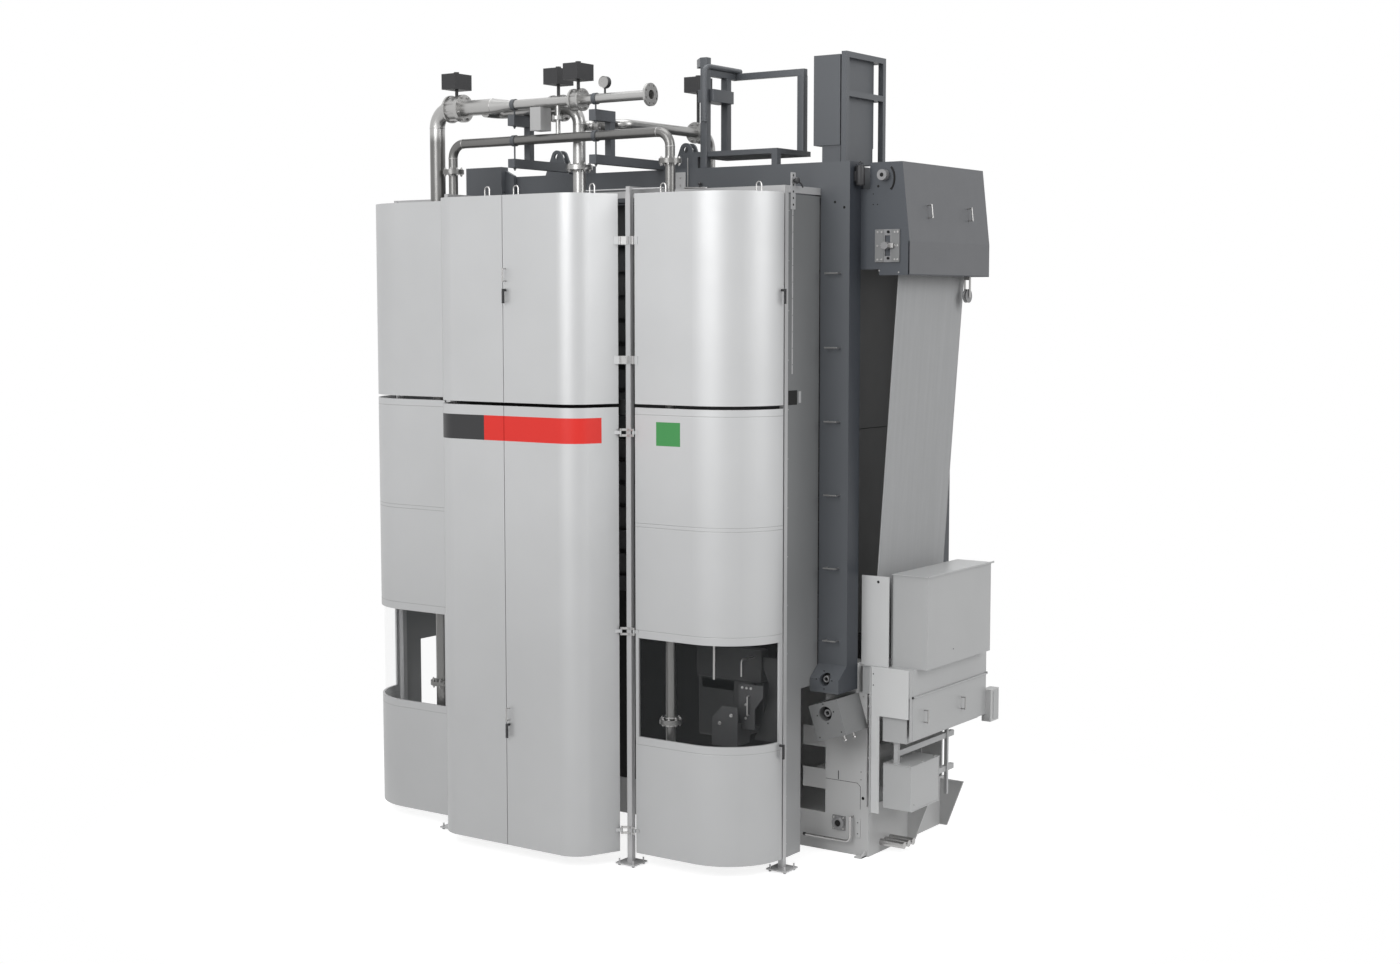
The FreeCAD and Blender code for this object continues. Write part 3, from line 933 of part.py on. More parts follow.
end_box = block("end_box", ("end_box_left", "end_box_right"),
                ("press_y - press_span / 2 - end_box_deep", "press_y - press_span / 2"), ("beam_low", "end_box_high"))
ramp = plate("end_box_ramp", "XZ", [
    ("end_box_right", "beam_low"), ("end_box_right + end_ramp_long", "beam_low"),
    ("end_box_right + end_ramp_long", "beam_high + end_ramp_low"), ("end_box_right", "beam_high + end_ramp_high"),
], "press_y - press_span / 2 - end_ramp_deep", "press_y - press_span / 2")
keepers = [
    block("keeper_end", ("end_box_right", "end_box_right + keeper_thick"),
          ("press_y - press_span / 2 - end_box_deep", "press_y - press_span / 2 - end_ramp_deep"),
          ("beam_low + keeper_up", "beam_low + keeper_up + keeper_high")),
    block("keeper_beam", centered("keeper_two", "keeper_wide"), (f"{beam_front_face} - keeper_thick", beam_front_face),
          centered("keeper_z", "keeper_wide")),
]
lugs.append(fuse("end_box_whole", end_box, ramp))
node(group("beam_fittings", *lugs, *keepers), "beam_fittings")
node(group("fixed_handles", *fixed_handles), "fixed_handles")

# Pipework: a feed line and a second line above the cabinets, a middle riser and a line to the back.
# Each line is a run of spools that meet at their flanges.
QUARTERS = {"XY": Rotation(), "XZ": Rotation(Vector(1, 0, 0), 90),
            "YZ": Rotation(Vector(0, 0, 1), 90) * Rotation(Vector(1, 0, 0), 90)}


def corner(name, plane, quarter, bend_radius, radius, x, y, z):
    """A quarter bend in a plane. Quarter 0 starts at the plane's first axis and 1 at its second."""
    ring = bend(name, Rotation(), bend_radius, radius, x, y, z)
    ring.Placement = Placement(ring.Placement.Base, QUARTERS[plane] * Rotation(Vector(0, 0, 1), 90 * quarter))
    return place(ring, x, y, z)


def flange(name, axis, radius, x, y, z, side):
    """One pipe flange on the near (-1) or far (+1) side of a place on the pipe."""
    spans = {"X": x, "Y": y, "Z": z}
    spot = spans[axis]
    spans[axis] = (f"{spot} - flange_thick", spot) if side < 0 else (spot, f"{spot} + flange_thick")
    return rod(name, axis, radius, spans["X"], spans["Y"], spans["Z"])


def valve(name, axis, radius, wide, x, y, z):
    """A valve between its two flanges: the disc of its body and a flange at each end."""
    spans = {"X": x, "Y": y, "Z": z}
    middle = spans[axis]
    parts = []
    for index, sign in enumerate((-1, 1)):
        spans[axis] = centered(f"{middle} + {sign} * {wide} / 2", "flange_thick")
        parts.append(rod(f"{name}_flange{index}", axis, radius, spans["X"], spans["Y"], spans["Z"]))
    spans[axis] = centered(middle, wide)
    parts.append(rod(f"{name}_body", axis, f"{radius} * valve_core", spans["X"], spans["Y"], spans["Z"]))
    return fuse(name, *parts)


def pipe_cone(name, first, second, x, y, z):
    """A reducer along X between two radii. x is a (low, high) pair."""
    cone = doc.addObject("Part::Cone", name)
    bind(cone, "Radius1", first)
    bind(cone, "Radius2", second)
    bind(cone, "Height", f"({x[1]}) - ({x[0]})")
    cone.Placement = Placement(Vector(), TURNS["X"])
    return place(cone, x[0], y, z)


VALVE_LEFT = "(valve_one - valve_one_wide / 2 - flange_thick / 2)"
feed_riser = fuse("feed_riser",
                  rod("feed_down", "Z", "big_pipe", "big_x", "line_y", ("feed_low", "line_z - big_bend")),
                  flange("feed_low_flange", "Z", "flange_big", "big_x", "line_y", "feed_flange", -1),
                  flange("feed_low_flange_top", "Z", "flange_big", "big_x", "line_y", "feed_flange", 1))
feed_elbow = fuse("feed_elbow",
                  corner("feed_bend", "XZ", 1, "big_bend", "big_pipe", "big_x + big_bend", "line_y",
                         "line_z - big_bend"),
                  rod("feed_short", "X", "big_pipe", ("big_x + big_bend", f"{VALVE_LEFT} + flange_thick"), "line_y",
                      "line_z"),
                  valve("valve_one", "X", "flange_big", "valve_one_wide", "valve_one", "line_y", "line_z"))
run_start = "(valve_one + valve_one_wide / 2 + flange_thick / 2)"
feed_line = [
    flange("feed_run_flange", "X", "flange_big", run_start, "line_y", "line_z", 1),
    rod("feed_run", "X", "big_pipe", (run_start, "reducer_left"), "line_y", "line_z"),
    pipe_cone("feed_reducer", "big_pipe", "small_pipe", ("reducer_left", "reducer_right"), "line_y", "line_z"),
    rod("feed_small", "X", "small_pipe", ("reducer_right", "outlet_x"), "line_y", "line_z"),
    valve("valve_three", "X", "flange_small", "valve_three_wide", "valve_three", "line_y", "line_z"),
    rod("outlet_flange", "X", "flange_small", ("outlet_x - outlet_thick", "outlet_x"), "line_y", "line_z"),
]
outlet_cuts = [rod("outlet_bore_cut", "X", "outlet_bore", ("outlet_x - outlet_deep", "outlet_x"), "line_y", "line_z")]
for index in range(int(value("outlet_bolts"))):
    turn = f"(({index} + 0.5) * 360 deg / outlet_bolts)"
    outlet_cuts.append(rod(f"outlet_hole{index}", "X", "outlet_bolt", ("outlet_x - outlet_thick", "outlet_x"),
                           f"line_y + outlet_circle / 2 * cos{turn}", f"line_z + outlet_circle / 2 * sin{turn}"))
node(group("feed_pipe", feed_riser, feed_elbow, cut("feed_line", fuse("feed_line_solid", *feed_line), *outlet_cuts)),
     "feed_pipe")

second = []
for side, word, low in ((-1, "left", "second_low_left"), (1, "right", "second_low_right")):
    x = f"second_{word}"
    level = "left_flange" if side < 0 else "window_flange"
    second.append(fuse(f"second_{word}_riser",
                       rod(f"second_{word}_down", "Z", "small_pipe", x, "line_y", (low, "flange_z")),
                       flange(f"second_{word}_low_flange", "Z", "flange_small", x, "line_y", level, -1),
                       flange(f"second_{word}_low_flange_top", "Z", "flange_small", x, "line_y", level, 1),
                       flange(f"second_{word}_top_flange", "Z", "flange_small", x, "line_y", "flange_z", -1)))
second.append(fuse("second_line",
                   flange("second_left_seat", "Z", "flange_small", "second_left", "line_y", "flange_z", 1),
                   rod("second_left_neck", "Z", "small_pipe", "second_left", "line_y",
                       ("flange_z", "second_z - second_bend")),
                   corner("second_bend_left", "XZ", 1, "second_bend", "small_pipe", "second_left + second_bend",
                          "line_y", "second_z - second_bend"),
                   rod("second_run", "X", "small_pipe",
                       ("second_left + second_bend", "second_right - second_bend"), "line_y", "second_z"),
                   corner("second_bend_right", "XZ", 0, "second_bend", "small_pipe",
                          "second_right - second_bend", "line_y", "second_z - second_bend"),
                   rod("second_right_neck", "Z", "small_pipe", "second_right", "line_y",
                       ("flange_z", "second_z - second_bend")),
                   flange("second_right_seat", "Z", "flange_small", "second_right", "line_y", "flange_z", 1)))
node(group("second_pipe", *second), "second_pipe")

# the middle riser turns left through valve two and joins the feed line at a saddle
feed_outside = rod("feed_outside", "X", "big_pipe + pipe_clear", ("big_x", "reducer_left"), "line_y", "line_z")
join_x = "(middle_end - middle_turn)"
middle_riser = fuse("middle_riser",
                    rod("middle_up", "Z", "middle_pipe", "middle_x", "middle_y", ("middle_low", "flange_z")),
                    flange("middle_flange", "Z", "flange_middle", "middle_x", "middle_y", "flange_z", -1))
middle_line = fuse("middle_line_solid",
                   flange("middle_seat", "Z", "flange_middle", "middle_x", "middle_y", "flange_z", 1),
                   rod("middle_neck", "Z", "middle_pipe", "middle_x", "middle_y",
                       ("flange_z", "middle_z - middle_bend")),
                   corner("middle_corner", "XZ", 0, "middle_bend", "middle_pipe", "middle_x - middle_bend",
                          "middle_y", "middle_z - middle_bend"),
                   rod("middle_run", "X", "middle_pipe", ("middle_end", "middle_x - middle_bend"), "middle_y",
                       "middle_z"),
                   valve("valve_two", "X", "flange_middle", "valve_two_wide", "valve_two", "middle_y", "middle_z"),
                   corner("middle_join", "XY", 1, "middle_turn", "middle_pipe", "middle_end",
                          "middle_y - middle_turn", "middle_z"),
                   rod("middle_saddle", "Y", "middle_pipe", join_x, ("line_y", "middle_y - middle_turn"),
                       "middle_z"))
# a thin tube with a flange pair joins the two lines
feed_small_outside = rod("feed_small_outside", "X", "small_pipe + pipe_clear", ("reducer_right", "outlet_x"),
                         "line_y", "line_z")
second_outside = rod("second_outside", "X", "small_pipe + pipe_clear", ("second_left", "second_right"), "line_y",
                     "second_z")
thin = fuse("thin_branch_solid",
            rod("thin_tube", "Z", "thin_pipe", "thin_x", "line_y", ("second_z", "line_z")),
            rod("thin_flanges", "Z", "thin_flange", "thin_x", "line_y", centered("thin_z", "1.5 * flange_thick")))
# the line to the back leaves the middle riser, passes a valve and turns down to the upper plate
riser_outside = rod("riser_outside", "Z", "middle_pipe + pipe_clear", "middle_x", "middle_y", ("flange_z", "middle_z"))
cross_y = "(middle_y + back_stub + back_turn)"
back_line = fuse("back_line_solid",
                 rod("back_tee", "Y", "back_pipe", "middle_x", ("middle_y", "middle_y + back_stub"), "back_z"),
                 corner("back_first", "XY", 1, "back_turn", "back_pipe", "middle_x + back_turn",
                        "middle_y + back_stub", "back_z"),
                 rod("back_cross", "X", "back_pipe", ("middle_x + back_turn", "back_x - back_turn"), cross_y, "back_z"),
                 flange("back_cross_flange", "X", "flange_small", "back_left", cross_y, "back_z", -1),
                 flange("back_cross_seat", "X", "flange_small", "back_left", cross_y, "back_z", 1),
                 corner("back_second", "XY", -1, "back_turn", "back_pipe", "back_x - back_turn",
                        f"{cross_y} + back_turn", "back_z"),
                 rod("back_run", "Y", "back_pipe", "back_x", (f"{cross_y} + back_turn", "back_y - back_bend"), "back_z"),
                 corner("back_corner", "YZ", 0, "back_bend", "back_pipe", "back_x", "back_y - back_bend",
                        "back_z - back_bend"),
                 rod("back_down", "Z", "back_pipe", "back_x", "back_y", ("top_plate_high", "back_z - back_bend")),
                 valve("valve_back", "Y", "flange_small", "valve_back_wide", "back_x", "valve_back", "back_z"))
node(group("branch_pipes", middle_riser, cut("middle_line", middle_line, feed_outside),
           cut("thin_branch", thin, feed_small_outside, second_outside), cut("back_line", back_line, riser_outside)),
     "branch_pipes")

actuators = []
for word, x, y, top in (
    ("one", "valve_one", "line_y", "line_z + flange_big * valve_core"),
    ("two", "valve_two", "middle_y", "middle_z + flange_middle * valve_core"),
    ("three", "valve_three", "line_y", "line_z + flange_small * valve_core"),
    ("back", "back_x", "valve_back", "back_z + flange_small * valve_core"),
):
    box_top = "actuator_low + actuator_high"
    actuators.append(fuse(
        f"actuator_{word}",
        block(f"actuator_{word}_box", centered(x, "actuator_wide"), centered(y, "actuator_deep"),
              ("actuator_low", box_top)),
        rod(f"actuator_{word}_cap", "Z", "actuator_cap", x, y, (box_top, f"{box_top} + actuator_cap_high")),
        rod(f"actuator_{word}_neck", "Z", "actuator_stem", x, y, (f"{top} + pipe_clear", "actuator_low"))))
node(group("valve_actuators", *actuators), "valve_actuators")
dial = rod("gauge_dial", "Y", "gauge_radius", "gauge_x", centered("line_y", "gauge_thick"), "gauge_z")
stem = rod("gauge_pipe", "Z", "gauge_stem", "gauge_x", "line_y", ("line_z + small_pipe + pipe_clear", "gauge_z"))
node(fuse("pressure_gauge", dial, stem), "pressure_gauge")
node(block("control_box", ("control_left", "control_right"), ("control_front", "control_back"),
           ("control_low", "line_z - small_pipe - pipe_clear")), "control_box")

# brackets: an arm from the front beam, a post and an upper arm, with a ring and a rod for each line
supports = []
for word in ("one", "two"):
    x = f"bracket_{word}"
    parts = [
        block(f"arm_{word}", centered(x, "arm_wide"), ("arm_front", "arm_back"), ("beam_high", "beam_high + arm_high")),
        block(f"stand_{word}", centered(x, "arm_post"), centered("arm_post_y", "arm_post"),
              ("beam_high + arm_high", "arm_upper_high")),
        block(f"upper_arm_{word}", centered(x, "arm_wide"), ("arm_front", "arm_upper_back"),
              ("arm_upper_low", "arm_upper_high")),
    ]
    bores = []
    for line, level, seat in (("high", "line_z", "arm_upper_low"), ("low", "second_z", "beam_high")):
        parts.append(rod(f"ring_{line}_{word}", "X", "small_pipe + clamp_over", centered(x, "clamp_wide"), "line_y",
                         level))
        parts.append(nut(f"ring_rod_{line}_{word}", "clamp_rod", x, "line_y",
                         (f"{seat} - 2 * clamp_nut_high", f"{level} - small_pipe")))
        parts.append(nut(f"ring_nut_{line}_{word}", "clamp_nut", x, "line_y",
                         (f"{seat} - clamp_nut_high", seat)))
        bores.append(rod(f"ring_bore_{line}_{word}", "X", "small_pipe + pipe_clear", centered(x, "2 * clamp_wide"),
                         "line_y", level))
    supports.append(cut(f"support_{word}", fuse(f"support_{word}_solid", *parts), *bores))
node(group("pipe_supports", *supports), "pipe_supports")

# check every object, then write each sub-part
doc.recompute()
faults = [f"{item.Label}: {item.State}" for item in doc.Objects if "Invalid" in item.State or "Error" in item.State]
for item in NODES:
    if item.Shape.isNull() or not item.Shape.isValid() or not item.Shape.Solids:
        faults.append(f"{item.Label}: bad shape")
if faults:
    sys.exit("\n".join(faults))
os.makedirs("parts", exist_ok=True)
for item in NODES:
    item.Shape.exportStep(os.path.join("parts", item.Label + ".step"))
print(f"{len(NODES)} sub-parts")
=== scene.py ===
import logging
import math
from dataclasses import dataclass, field
from enum import Enum
from typing import Any, ClassVar, Iterable, Sequence

import bpy
import numpy as np
from mathutils import Euler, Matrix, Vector


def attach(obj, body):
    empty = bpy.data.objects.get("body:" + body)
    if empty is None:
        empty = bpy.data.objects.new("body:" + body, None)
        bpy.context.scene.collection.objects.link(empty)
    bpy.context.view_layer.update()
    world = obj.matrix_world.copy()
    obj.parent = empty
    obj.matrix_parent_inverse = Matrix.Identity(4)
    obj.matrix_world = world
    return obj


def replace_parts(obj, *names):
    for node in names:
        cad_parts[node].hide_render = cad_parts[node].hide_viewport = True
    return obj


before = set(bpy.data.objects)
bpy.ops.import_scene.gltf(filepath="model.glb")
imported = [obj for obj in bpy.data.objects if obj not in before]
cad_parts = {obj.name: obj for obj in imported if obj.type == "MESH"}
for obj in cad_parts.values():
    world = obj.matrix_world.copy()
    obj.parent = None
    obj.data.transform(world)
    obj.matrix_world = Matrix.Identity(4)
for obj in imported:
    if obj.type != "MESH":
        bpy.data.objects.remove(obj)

LOG = logging.getLogger("filter_press")
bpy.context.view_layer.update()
MIDDLE = np.array([0.0375, -0.0715, 0.0])


def at(x: float, y: float, z: float) -> np.ndarray:
    """A place in the row frame, in metres.

    Args:
        x, y, z: the same place in millimetres from the datum of the press's sizes.

    Returns:
        The three coordinates in metres: a thousandth of each, plus the way from that datum to the middle.
    """
    return np.array([x, y, z]) / 1000 + MIDDLE


class Axis(Enum):
    """The way that a round piece or a flange faces."""

    X = (1, 2, 0)
    Y = (2, 0, 1)
    Z = (0, 1, 2)


@dataclass
class Shape:
    """Points in metres with the faces between them, before they become a mesh."""

    points: np.ndarray
    quads: np.ndarray = field(default_factory=lambda: np.zeros((0, 4), int))
    caps: list[np.ndarray] = field(default_factory=list)

    def moved(self, offset: Sequence[float]) -> "Shape":
        """The same shape further along each axis."""
        return Shape(self.points + np.asarray(offset), self.quads, self.caps)

    def turned(self, matrix: np.ndarray) -> "Shape":
        """The same shape turned by a rotation matrix about the origin."""
        return Shape(self.points @ matrix.T, self.quads, self.caps)


def join(shapes: Iterable[Shape]) -> Shape:
    """Puts several shapes in one.

    Args:
        shapes: the shapes, in any order.

    Returns:
        One shape: the points one after another, and each face's numbers raised by the points before it.
    """
    parts = list(shapes)
    starts = np.cumsum([0] + [len(part.points) for part in parts])
    return Shape(
        np.vstack([part.points for part in parts]),
        np.vstack([part.quads + start for part, start in zip(parts, starts)]),
        [cap + start for part, start in zip(parts, starts) for cap in part.caps],
    )


def net(rows: np.ndarray, around: bool = False, along: bool = False, ends: bool = True) -> Shape:
    """A surface over a grid of points.

    Args:
        rows: points as an array of rows by columns by three.
        around: whether each row closes on itself.
        along: whether the last row joins the first.
        ends: whether the first and last rows are filled, where rows close on themselves.

    Returns:
        One four-sided face between each two neighbouring rows and columns.
    """
    count, wide = rows.shape[:2]
    number = np.arange(count * wide).reshape(count, wide)
    if around:
        number = np.hstack([number, number[:, :1]])
    if along:
        number = np.vstack([number, number[:1]])
    quads = np.stack([number[:-1, :-1], number[:-1, 1:], number[1:, 1:], number[1:, :-1]], axis=-1)
    caps = []
    if around and ends and not along:
        caps = [number[0, :-1][::-1].copy(), number[-1, :-1].copy()]
    return Shape(rows.reshape(-1, 3), quads.reshape(-1, 4), caps)


def lathe(profile: Sequence[tuple[float, float]], middle: np.ndarray, axis: Axis, sides: int = 20) -> Shape:
    """A profile turned right round an axis.

    Args:
        profile: (radius, height) ends in metres, from one end to the other.
        middle: the place on the axis with height 0.
        axis: the way that the axis points.
        sides: how many faces go round.

    Returns:
        Each profile end as a ring: radius times the cosine and sine of an even turn, at its height.
    """
    line = np.asarray(profile, float)
    turn = np.arange(sides) * 2 * math.pi / sides
    rows = np.zeros((len(line), sides, 3))
    first, second, third = axis.value
    rows[:, :, first] = line[:, :1] * np.cos(turn)
    rows[:, :, second] = line[:, :1] * np.sin(turn)
    rows[:, :, third] = line[:, 1:]
    return net(rows + middle, around=True)


def outline_ring(corners: Sequence[tuple[float, float]], radius: float, steps: int = 3) -> np.ndarray:
    """An outline with rounded corners.

    Args:
        corners: the corners in order, turning left.
        radius: the radius at each corner.
        steps: how many faces go round each corner.

    Returns:
        Points on an arc at each corner that touches both of its sides, worked out for all corners at once.
    """
    ends = np.asarray(corners, float)
    back = np.roll(ends, 1, axis=0) - ends
    forth = np.roll(ends, -1, axis=0) - ends
    back /= np.linalg.norm(back, axis=1)[:, None]
    forth /= np.linalg.norm(forth, axis=1)[:, None]
    half = np.arccos(np.clip((back * forth).sum(1), -1, 1)) / 2
    reach = radius / np.tan(half)
    mix = np.linspace(0, 1, steps + 1)[None, :, None]
    start = ends + back * reach[:, None]
    stop = ends + forth * reach[:, None]
    curve = (1 - mix) ** 2 * start[:, None] + 2 * mix * (1 - mix) * ends[:, None] + mix**2 * stop[:, None]
    return curve.reshape(-1, 2)


def slab(outline: np.ndarray, low: float, high: float, axis: Axis, edge: float = 0.0015) -> Shape:
    """A flat outline given a thickness along an axis, with small chamfers round both faces.

    Args:
        outline: the outline in the two directions that follow the axis, turning left, in metres.
        low, high: where its two faces are along the axis.
        edge: the size of the chamfer.

    Returns:
        Four rings: the outline drawn in by the chamfer at each face, and whole one chamfer further in.
    """
    step = np.roll(outline, -1, axis=0) - np.roll(outline, 1, axis=0)
    step /= np.maximum(np.linalg.norm(step, axis=1), 1e-9)[:, None]
    inward = np.stack([-step[:, 1], step[:, 0]], axis=1) * edge
    first, second, third = axis.value
    rows = np.zeros((4, len(outline), 3))
    for row, (ring, height) in enumerate(
        ((outline + inward, low), (outline, low + edge), (outline, high - edge), (outline + inward, high))
    ):
        rows[row, :, first] = ring[:, 0]
        rows[row, :, second] = ring[:, 1]
        rows[row, :, third] = height
    return net(rows, around=True)


def panel(low: Sequence[float], high: Sequence[float], axis: Axis, radius: float = 0.004,
          edge: float = 0.001) -> Shape:
    """A flat rectangular sheet between two corners in metres, rounded at its corners."""
    first, second, third = axis.value
    corners = [(low[first], low[second]), (high[first], low[second]),
               (high[first], high[second]), (low[first], high[second])]
    return slab(outline_ring(corners, radius), low[third], high[third], axis, edge)


def tube(path: np.ndarray, radius: float, up: Sequence[float], sides: int = 10) -> Shape:
    """A round bar along a path.

    Args:
        path: the points along its middle, as an array of three columns.
        radius: the bar's radius.
        up: a direction that the path never runs along.
        sides: how many faces go round.

    Returns:
        A ring at each point, square to the path: side is the path's way crossed with up, rise is side crossed
        with the path's way, and each ring is the middle plus cosine times side plus sine times rise.
    """
    way = np.gradient(path, axis=0)
    way /= np.linalg.norm(way, axis=1)[:, None]
    side = np.cross(way, np.asarray(up, float))
    side /= np.linalg.norm(side, axis=1)[:, None]
    rise = np.cross(side, way)
    turn = np.arange(sides) * 2 * math.pi / sides
    rings = path[:, None] + radius * (
        np.cos(turn)[None, :, None] * side[:, None] + np.sin(turn)[None, :, None] * rise[:, None]
    )
    return net(rings[:, ::-1], around=True)


def bolt_ring(middle: np.ndarray, axis: Axis, circle: float, count: int, across: float, reach: float) -> Shape:
    """Studs round a flange, with a nut on each side.

    Args:
        middle: the middle of the flange pair.
        axis: the way that the flange faces.
        circle: the radius of the ring of studs.
        count: how many studs.
        across: the radius of a nut's corners.
        reach: how far the outer faces of the flanges lie from the middle.

    Returns:
        Each stud as a six-sided turned profile: end, nut, and the nut's washer, at both sides.
    """
    ends = np.array([(0.45, 1.75), (0.55, 1.6), (0.55, 0.85), (0.85, 0.85), (1.0, 0.7), (1.0, 0.12), (1.15, 0.12),
                     (1.15, 0.0)]) * across + [0, reach]
    profile = np.vstack([ends * [1, -1], ends[::-1]])
    turn = (np.arange(count) + 0.5) * 2 * math.pi / count
    first, second, _ = axis.value
    one = lathe(profile, np.zeros(3), axis, 6)
    spots = np.zeros((count, 3))
    spots[:, first] = circle * np.cos(turn)
    spots[:, second] = circle * np.sin(turn)
    return join(one.moved(spot + middle) for spot in spots)


def plate_between(low: Sequence[float], high: Sequence[float], radius: float = 3.0, edge: float = 1.0) -> Shape:
    """A flat plate or bar between two corners.

    Args:
        low, high: two opposite corners in millimetres from the datum.
        radius: the radius of its corners, seen along its thinnest way.
        edge: the chamfer of its edges.

    Returns:
        A slab whose thickness runs along the shortest of its three sides.
    """
    near, far = at(*low), at(*high)
    sides = far - near
    axis = list(Axis)[int(np.argmin(sides))]
    ordered = np.sort(sides)
    return panel(near, far, axis, min(radius / 1000, ordered[1] * 0.4), min(edge / 1000, ordered[0] * 0.3))


def cut_plate(corners: Sequence[tuple[float, float]], low: float, high: float, axis: Axis, radius: float = 3.0,
              edge: float = 1.0) -> Shape:
    """A plate of any straight-sided outline.

    Args:
        corners: the outline in the two directions across the axis, in the order x, y, z, in millimetres.
        low, high: where its faces are along the axis.
        axis: the way that it faces.
        radius: the radius of its corners.
        edge: the chamfer of its edges.

    Returns:
        The outline, turned left if its signed area is less than nothing, with rounded corners and a thickness.
    """
    first, second, third = axis.value
    ring = np.asarray(corners, float)
    if axis is Axis.Y:
        ring = ring[:, ::-1]
    ring = ring / 1000 + MIDDLE[[first, second]]
    following = np.roll(ring, -1, axis=0)
    if np.sum(ring[:, 0] * following[:, 1] - following[:, 0] * ring[:, 1]) < 0:
        ring = ring[::-1]
    outline = outline_ring(ring, radius / 1000)
    return slab(outline, low / 1000 + MIDDLE[third], high / 1000 + MIDDLE[third], axis, edge / 1000)


def pin(start: Sequence[float], axis: Axis, length: float, radius: float, chamfer: float = 1.5,
        sides: int = 20) -> Shape:
    """A round bar with a chamfer at both ends, from its low end along an axis, in millimetres."""
    profile = [(radius - chamfer, 0), (radius, chamfer), (radius, length - chamfer), (radius - chamfer, length)]
    return lathe(np.asarray(profile) / 1000, at(*start), axis, sides)


def discs(spots: Iterable[Sequence[float]], axis: Axis, radius: float, rise: float, sides: int = 18) -> Shape:
    """Shallow round marks on a face, in millimetres, which stand off along an axis, below it for a rise under 0."""
    profile = np.array([(radius, -rise * 0.5), (radius, rise * 0.6), (radius * 0.92, rise)]) / 1000
    if rise < 0:
        profile = profile[::-1]
    return join(lathe(profile, at(*spot), axis, sides) for spot in spots)


def hexes(spots: Iterable[Sequence[float]], axis: Axis, radius: float, rise: float) -> Shape:
    """Hexagon heads with a washer, in millimetres, on a face that looks along an axis, or back along it."""
    profile = np.array([
        (radius * 1.25, -rise * 0.1), (radius * 1.25, rise * 0.18), (radius, rise * 0.18), (radius, rise * 0.85),
        (radius * 0.85, rise),
    ]) / 1000
    if rise < 0:
        profile = profile[::-1]
    return join(lathe(profile, at(*spot), axis, 6) for spot in spots)


def bent(corners: Sequence[Sequence[float]], radius: float, bend: float, up: Sequence[float],
         sides: int = 12) -> Shape:
    """A tube with bends between straight runs.

    Args:
        corners: the ends and the corners of its line, in millimetres.
        radius: the radius of the tube.
        bend: how far from each corner the bend starts.
        up: a direction square to the plane of the bends.
        sides: how many faces go round.

    Returns:
        A tube along the line, whose corners are curves of the second degree between the two starts of each bend.
    """
    ends = np.array([at(*corner) for corner in corners])
    back, forth = ends[:-2] - ends[1:-1], ends[2:] - ends[1:-1]
    back *= (bend / 1000) / np.linalg.norm(back, axis=1)[:, None]
    forth *= (bend / 1000) / np.linalg.norm(forth, axis=1)[:, None]
    mix = np.linspace(0, 1, 8)[None, :, None]
    inner = ends[1:-1][:, None]
    start, stop = inner + back[:, None], inner + forth[:, None]
    curve = (1 - mix) ** 2 * start + 2 * mix * (1 - mix) * inner + mix**2 * stop
    path = np.vstack([ends[:1], curve.reshape(-1, 3), ends[-1:]])
    return tube(path, radius / 1000, up, sides)


class Wire:
    """A shader socket on which Python's operators add Math nodes."""

    def __init__(self, bench: "Bench", socket: Any) -> None:
        self.bench = bench
        self.socket = socket

    def _math(self, operation: str, first: Any, second: Any = 0.0) -> "Wire":
        """The outcome of one Math node on two wires or numbers."""
        return self.bench.add("ShaderNodeMath", {"operation": operation}, {0: first, 1: second})

    def __add__(self, other: Any) -> "Wire":
        """Sum."""
        return self._math("ADD", self, other)

    __radd__ = __add__

    def __sub__(self, other: Any) -> "Wire":
        """Difference."""
        return self._math("SUBTRACT", self, other)

    def __rsub__(self, other: Any) -> "Wire":
        """Difference, the other way round."""
        return self._math("SUBTRACT", other, self)

    def __mul__(self, other: Any) -> "Wire":
        """Product."""
        return self._math("MULTIPLY", self, other)

    __rmul__ = __mul__

    def __truediv__(self, other: Any) -> "Wire":
        """Quotient."""
        return self._math("DIVIDE", self, other)

    def __rtruediv__(self, other: Any) -> "Wire":
        """Quotient, the other way round."""
        return self._math("DIVIDE", other, self)

    def __pow__(self, other: Any) -> "Wire":
        """Power."""
        return self._math("POWER", self, other)

    def __rpow__(self, other: Any) -> "Wire":
        """Power, the other way round."""
        return self._math("POWER", other, self)

    def sine(self) -> "Wire":
        """Sine of an angle in radians."""
        return self._math("SINE", self)

    def larger(self, other: Any) -> "Wire":
        """The larger of this and another value."""
        return self._math("MAXIMUM", self, other)

    def clamped(self) -> "Wire":
        """The value held between 0 and 1."""
        return self._math("MINIMUM", self.larger(0.0), 1.0)

    def step(self, low: float, high: float) -> "Wire":
        """A smooth rise from 0 at one value to 1 at another."""
        return self.bench.add("ShaderNodeMapRange", {"interpolation_type": "SMOOTHSTEP"},
                              {"Value": self, "From Min": low, "From Max": high})

    def band(self, low: float, high: float, soft: float = 0.0005) -> "Wire":
        """1 between two values and 0 outside them, with soft edges."""
        return self.step(low - soft, low + soft) * (1 - self.step(high - soft, high + soft))


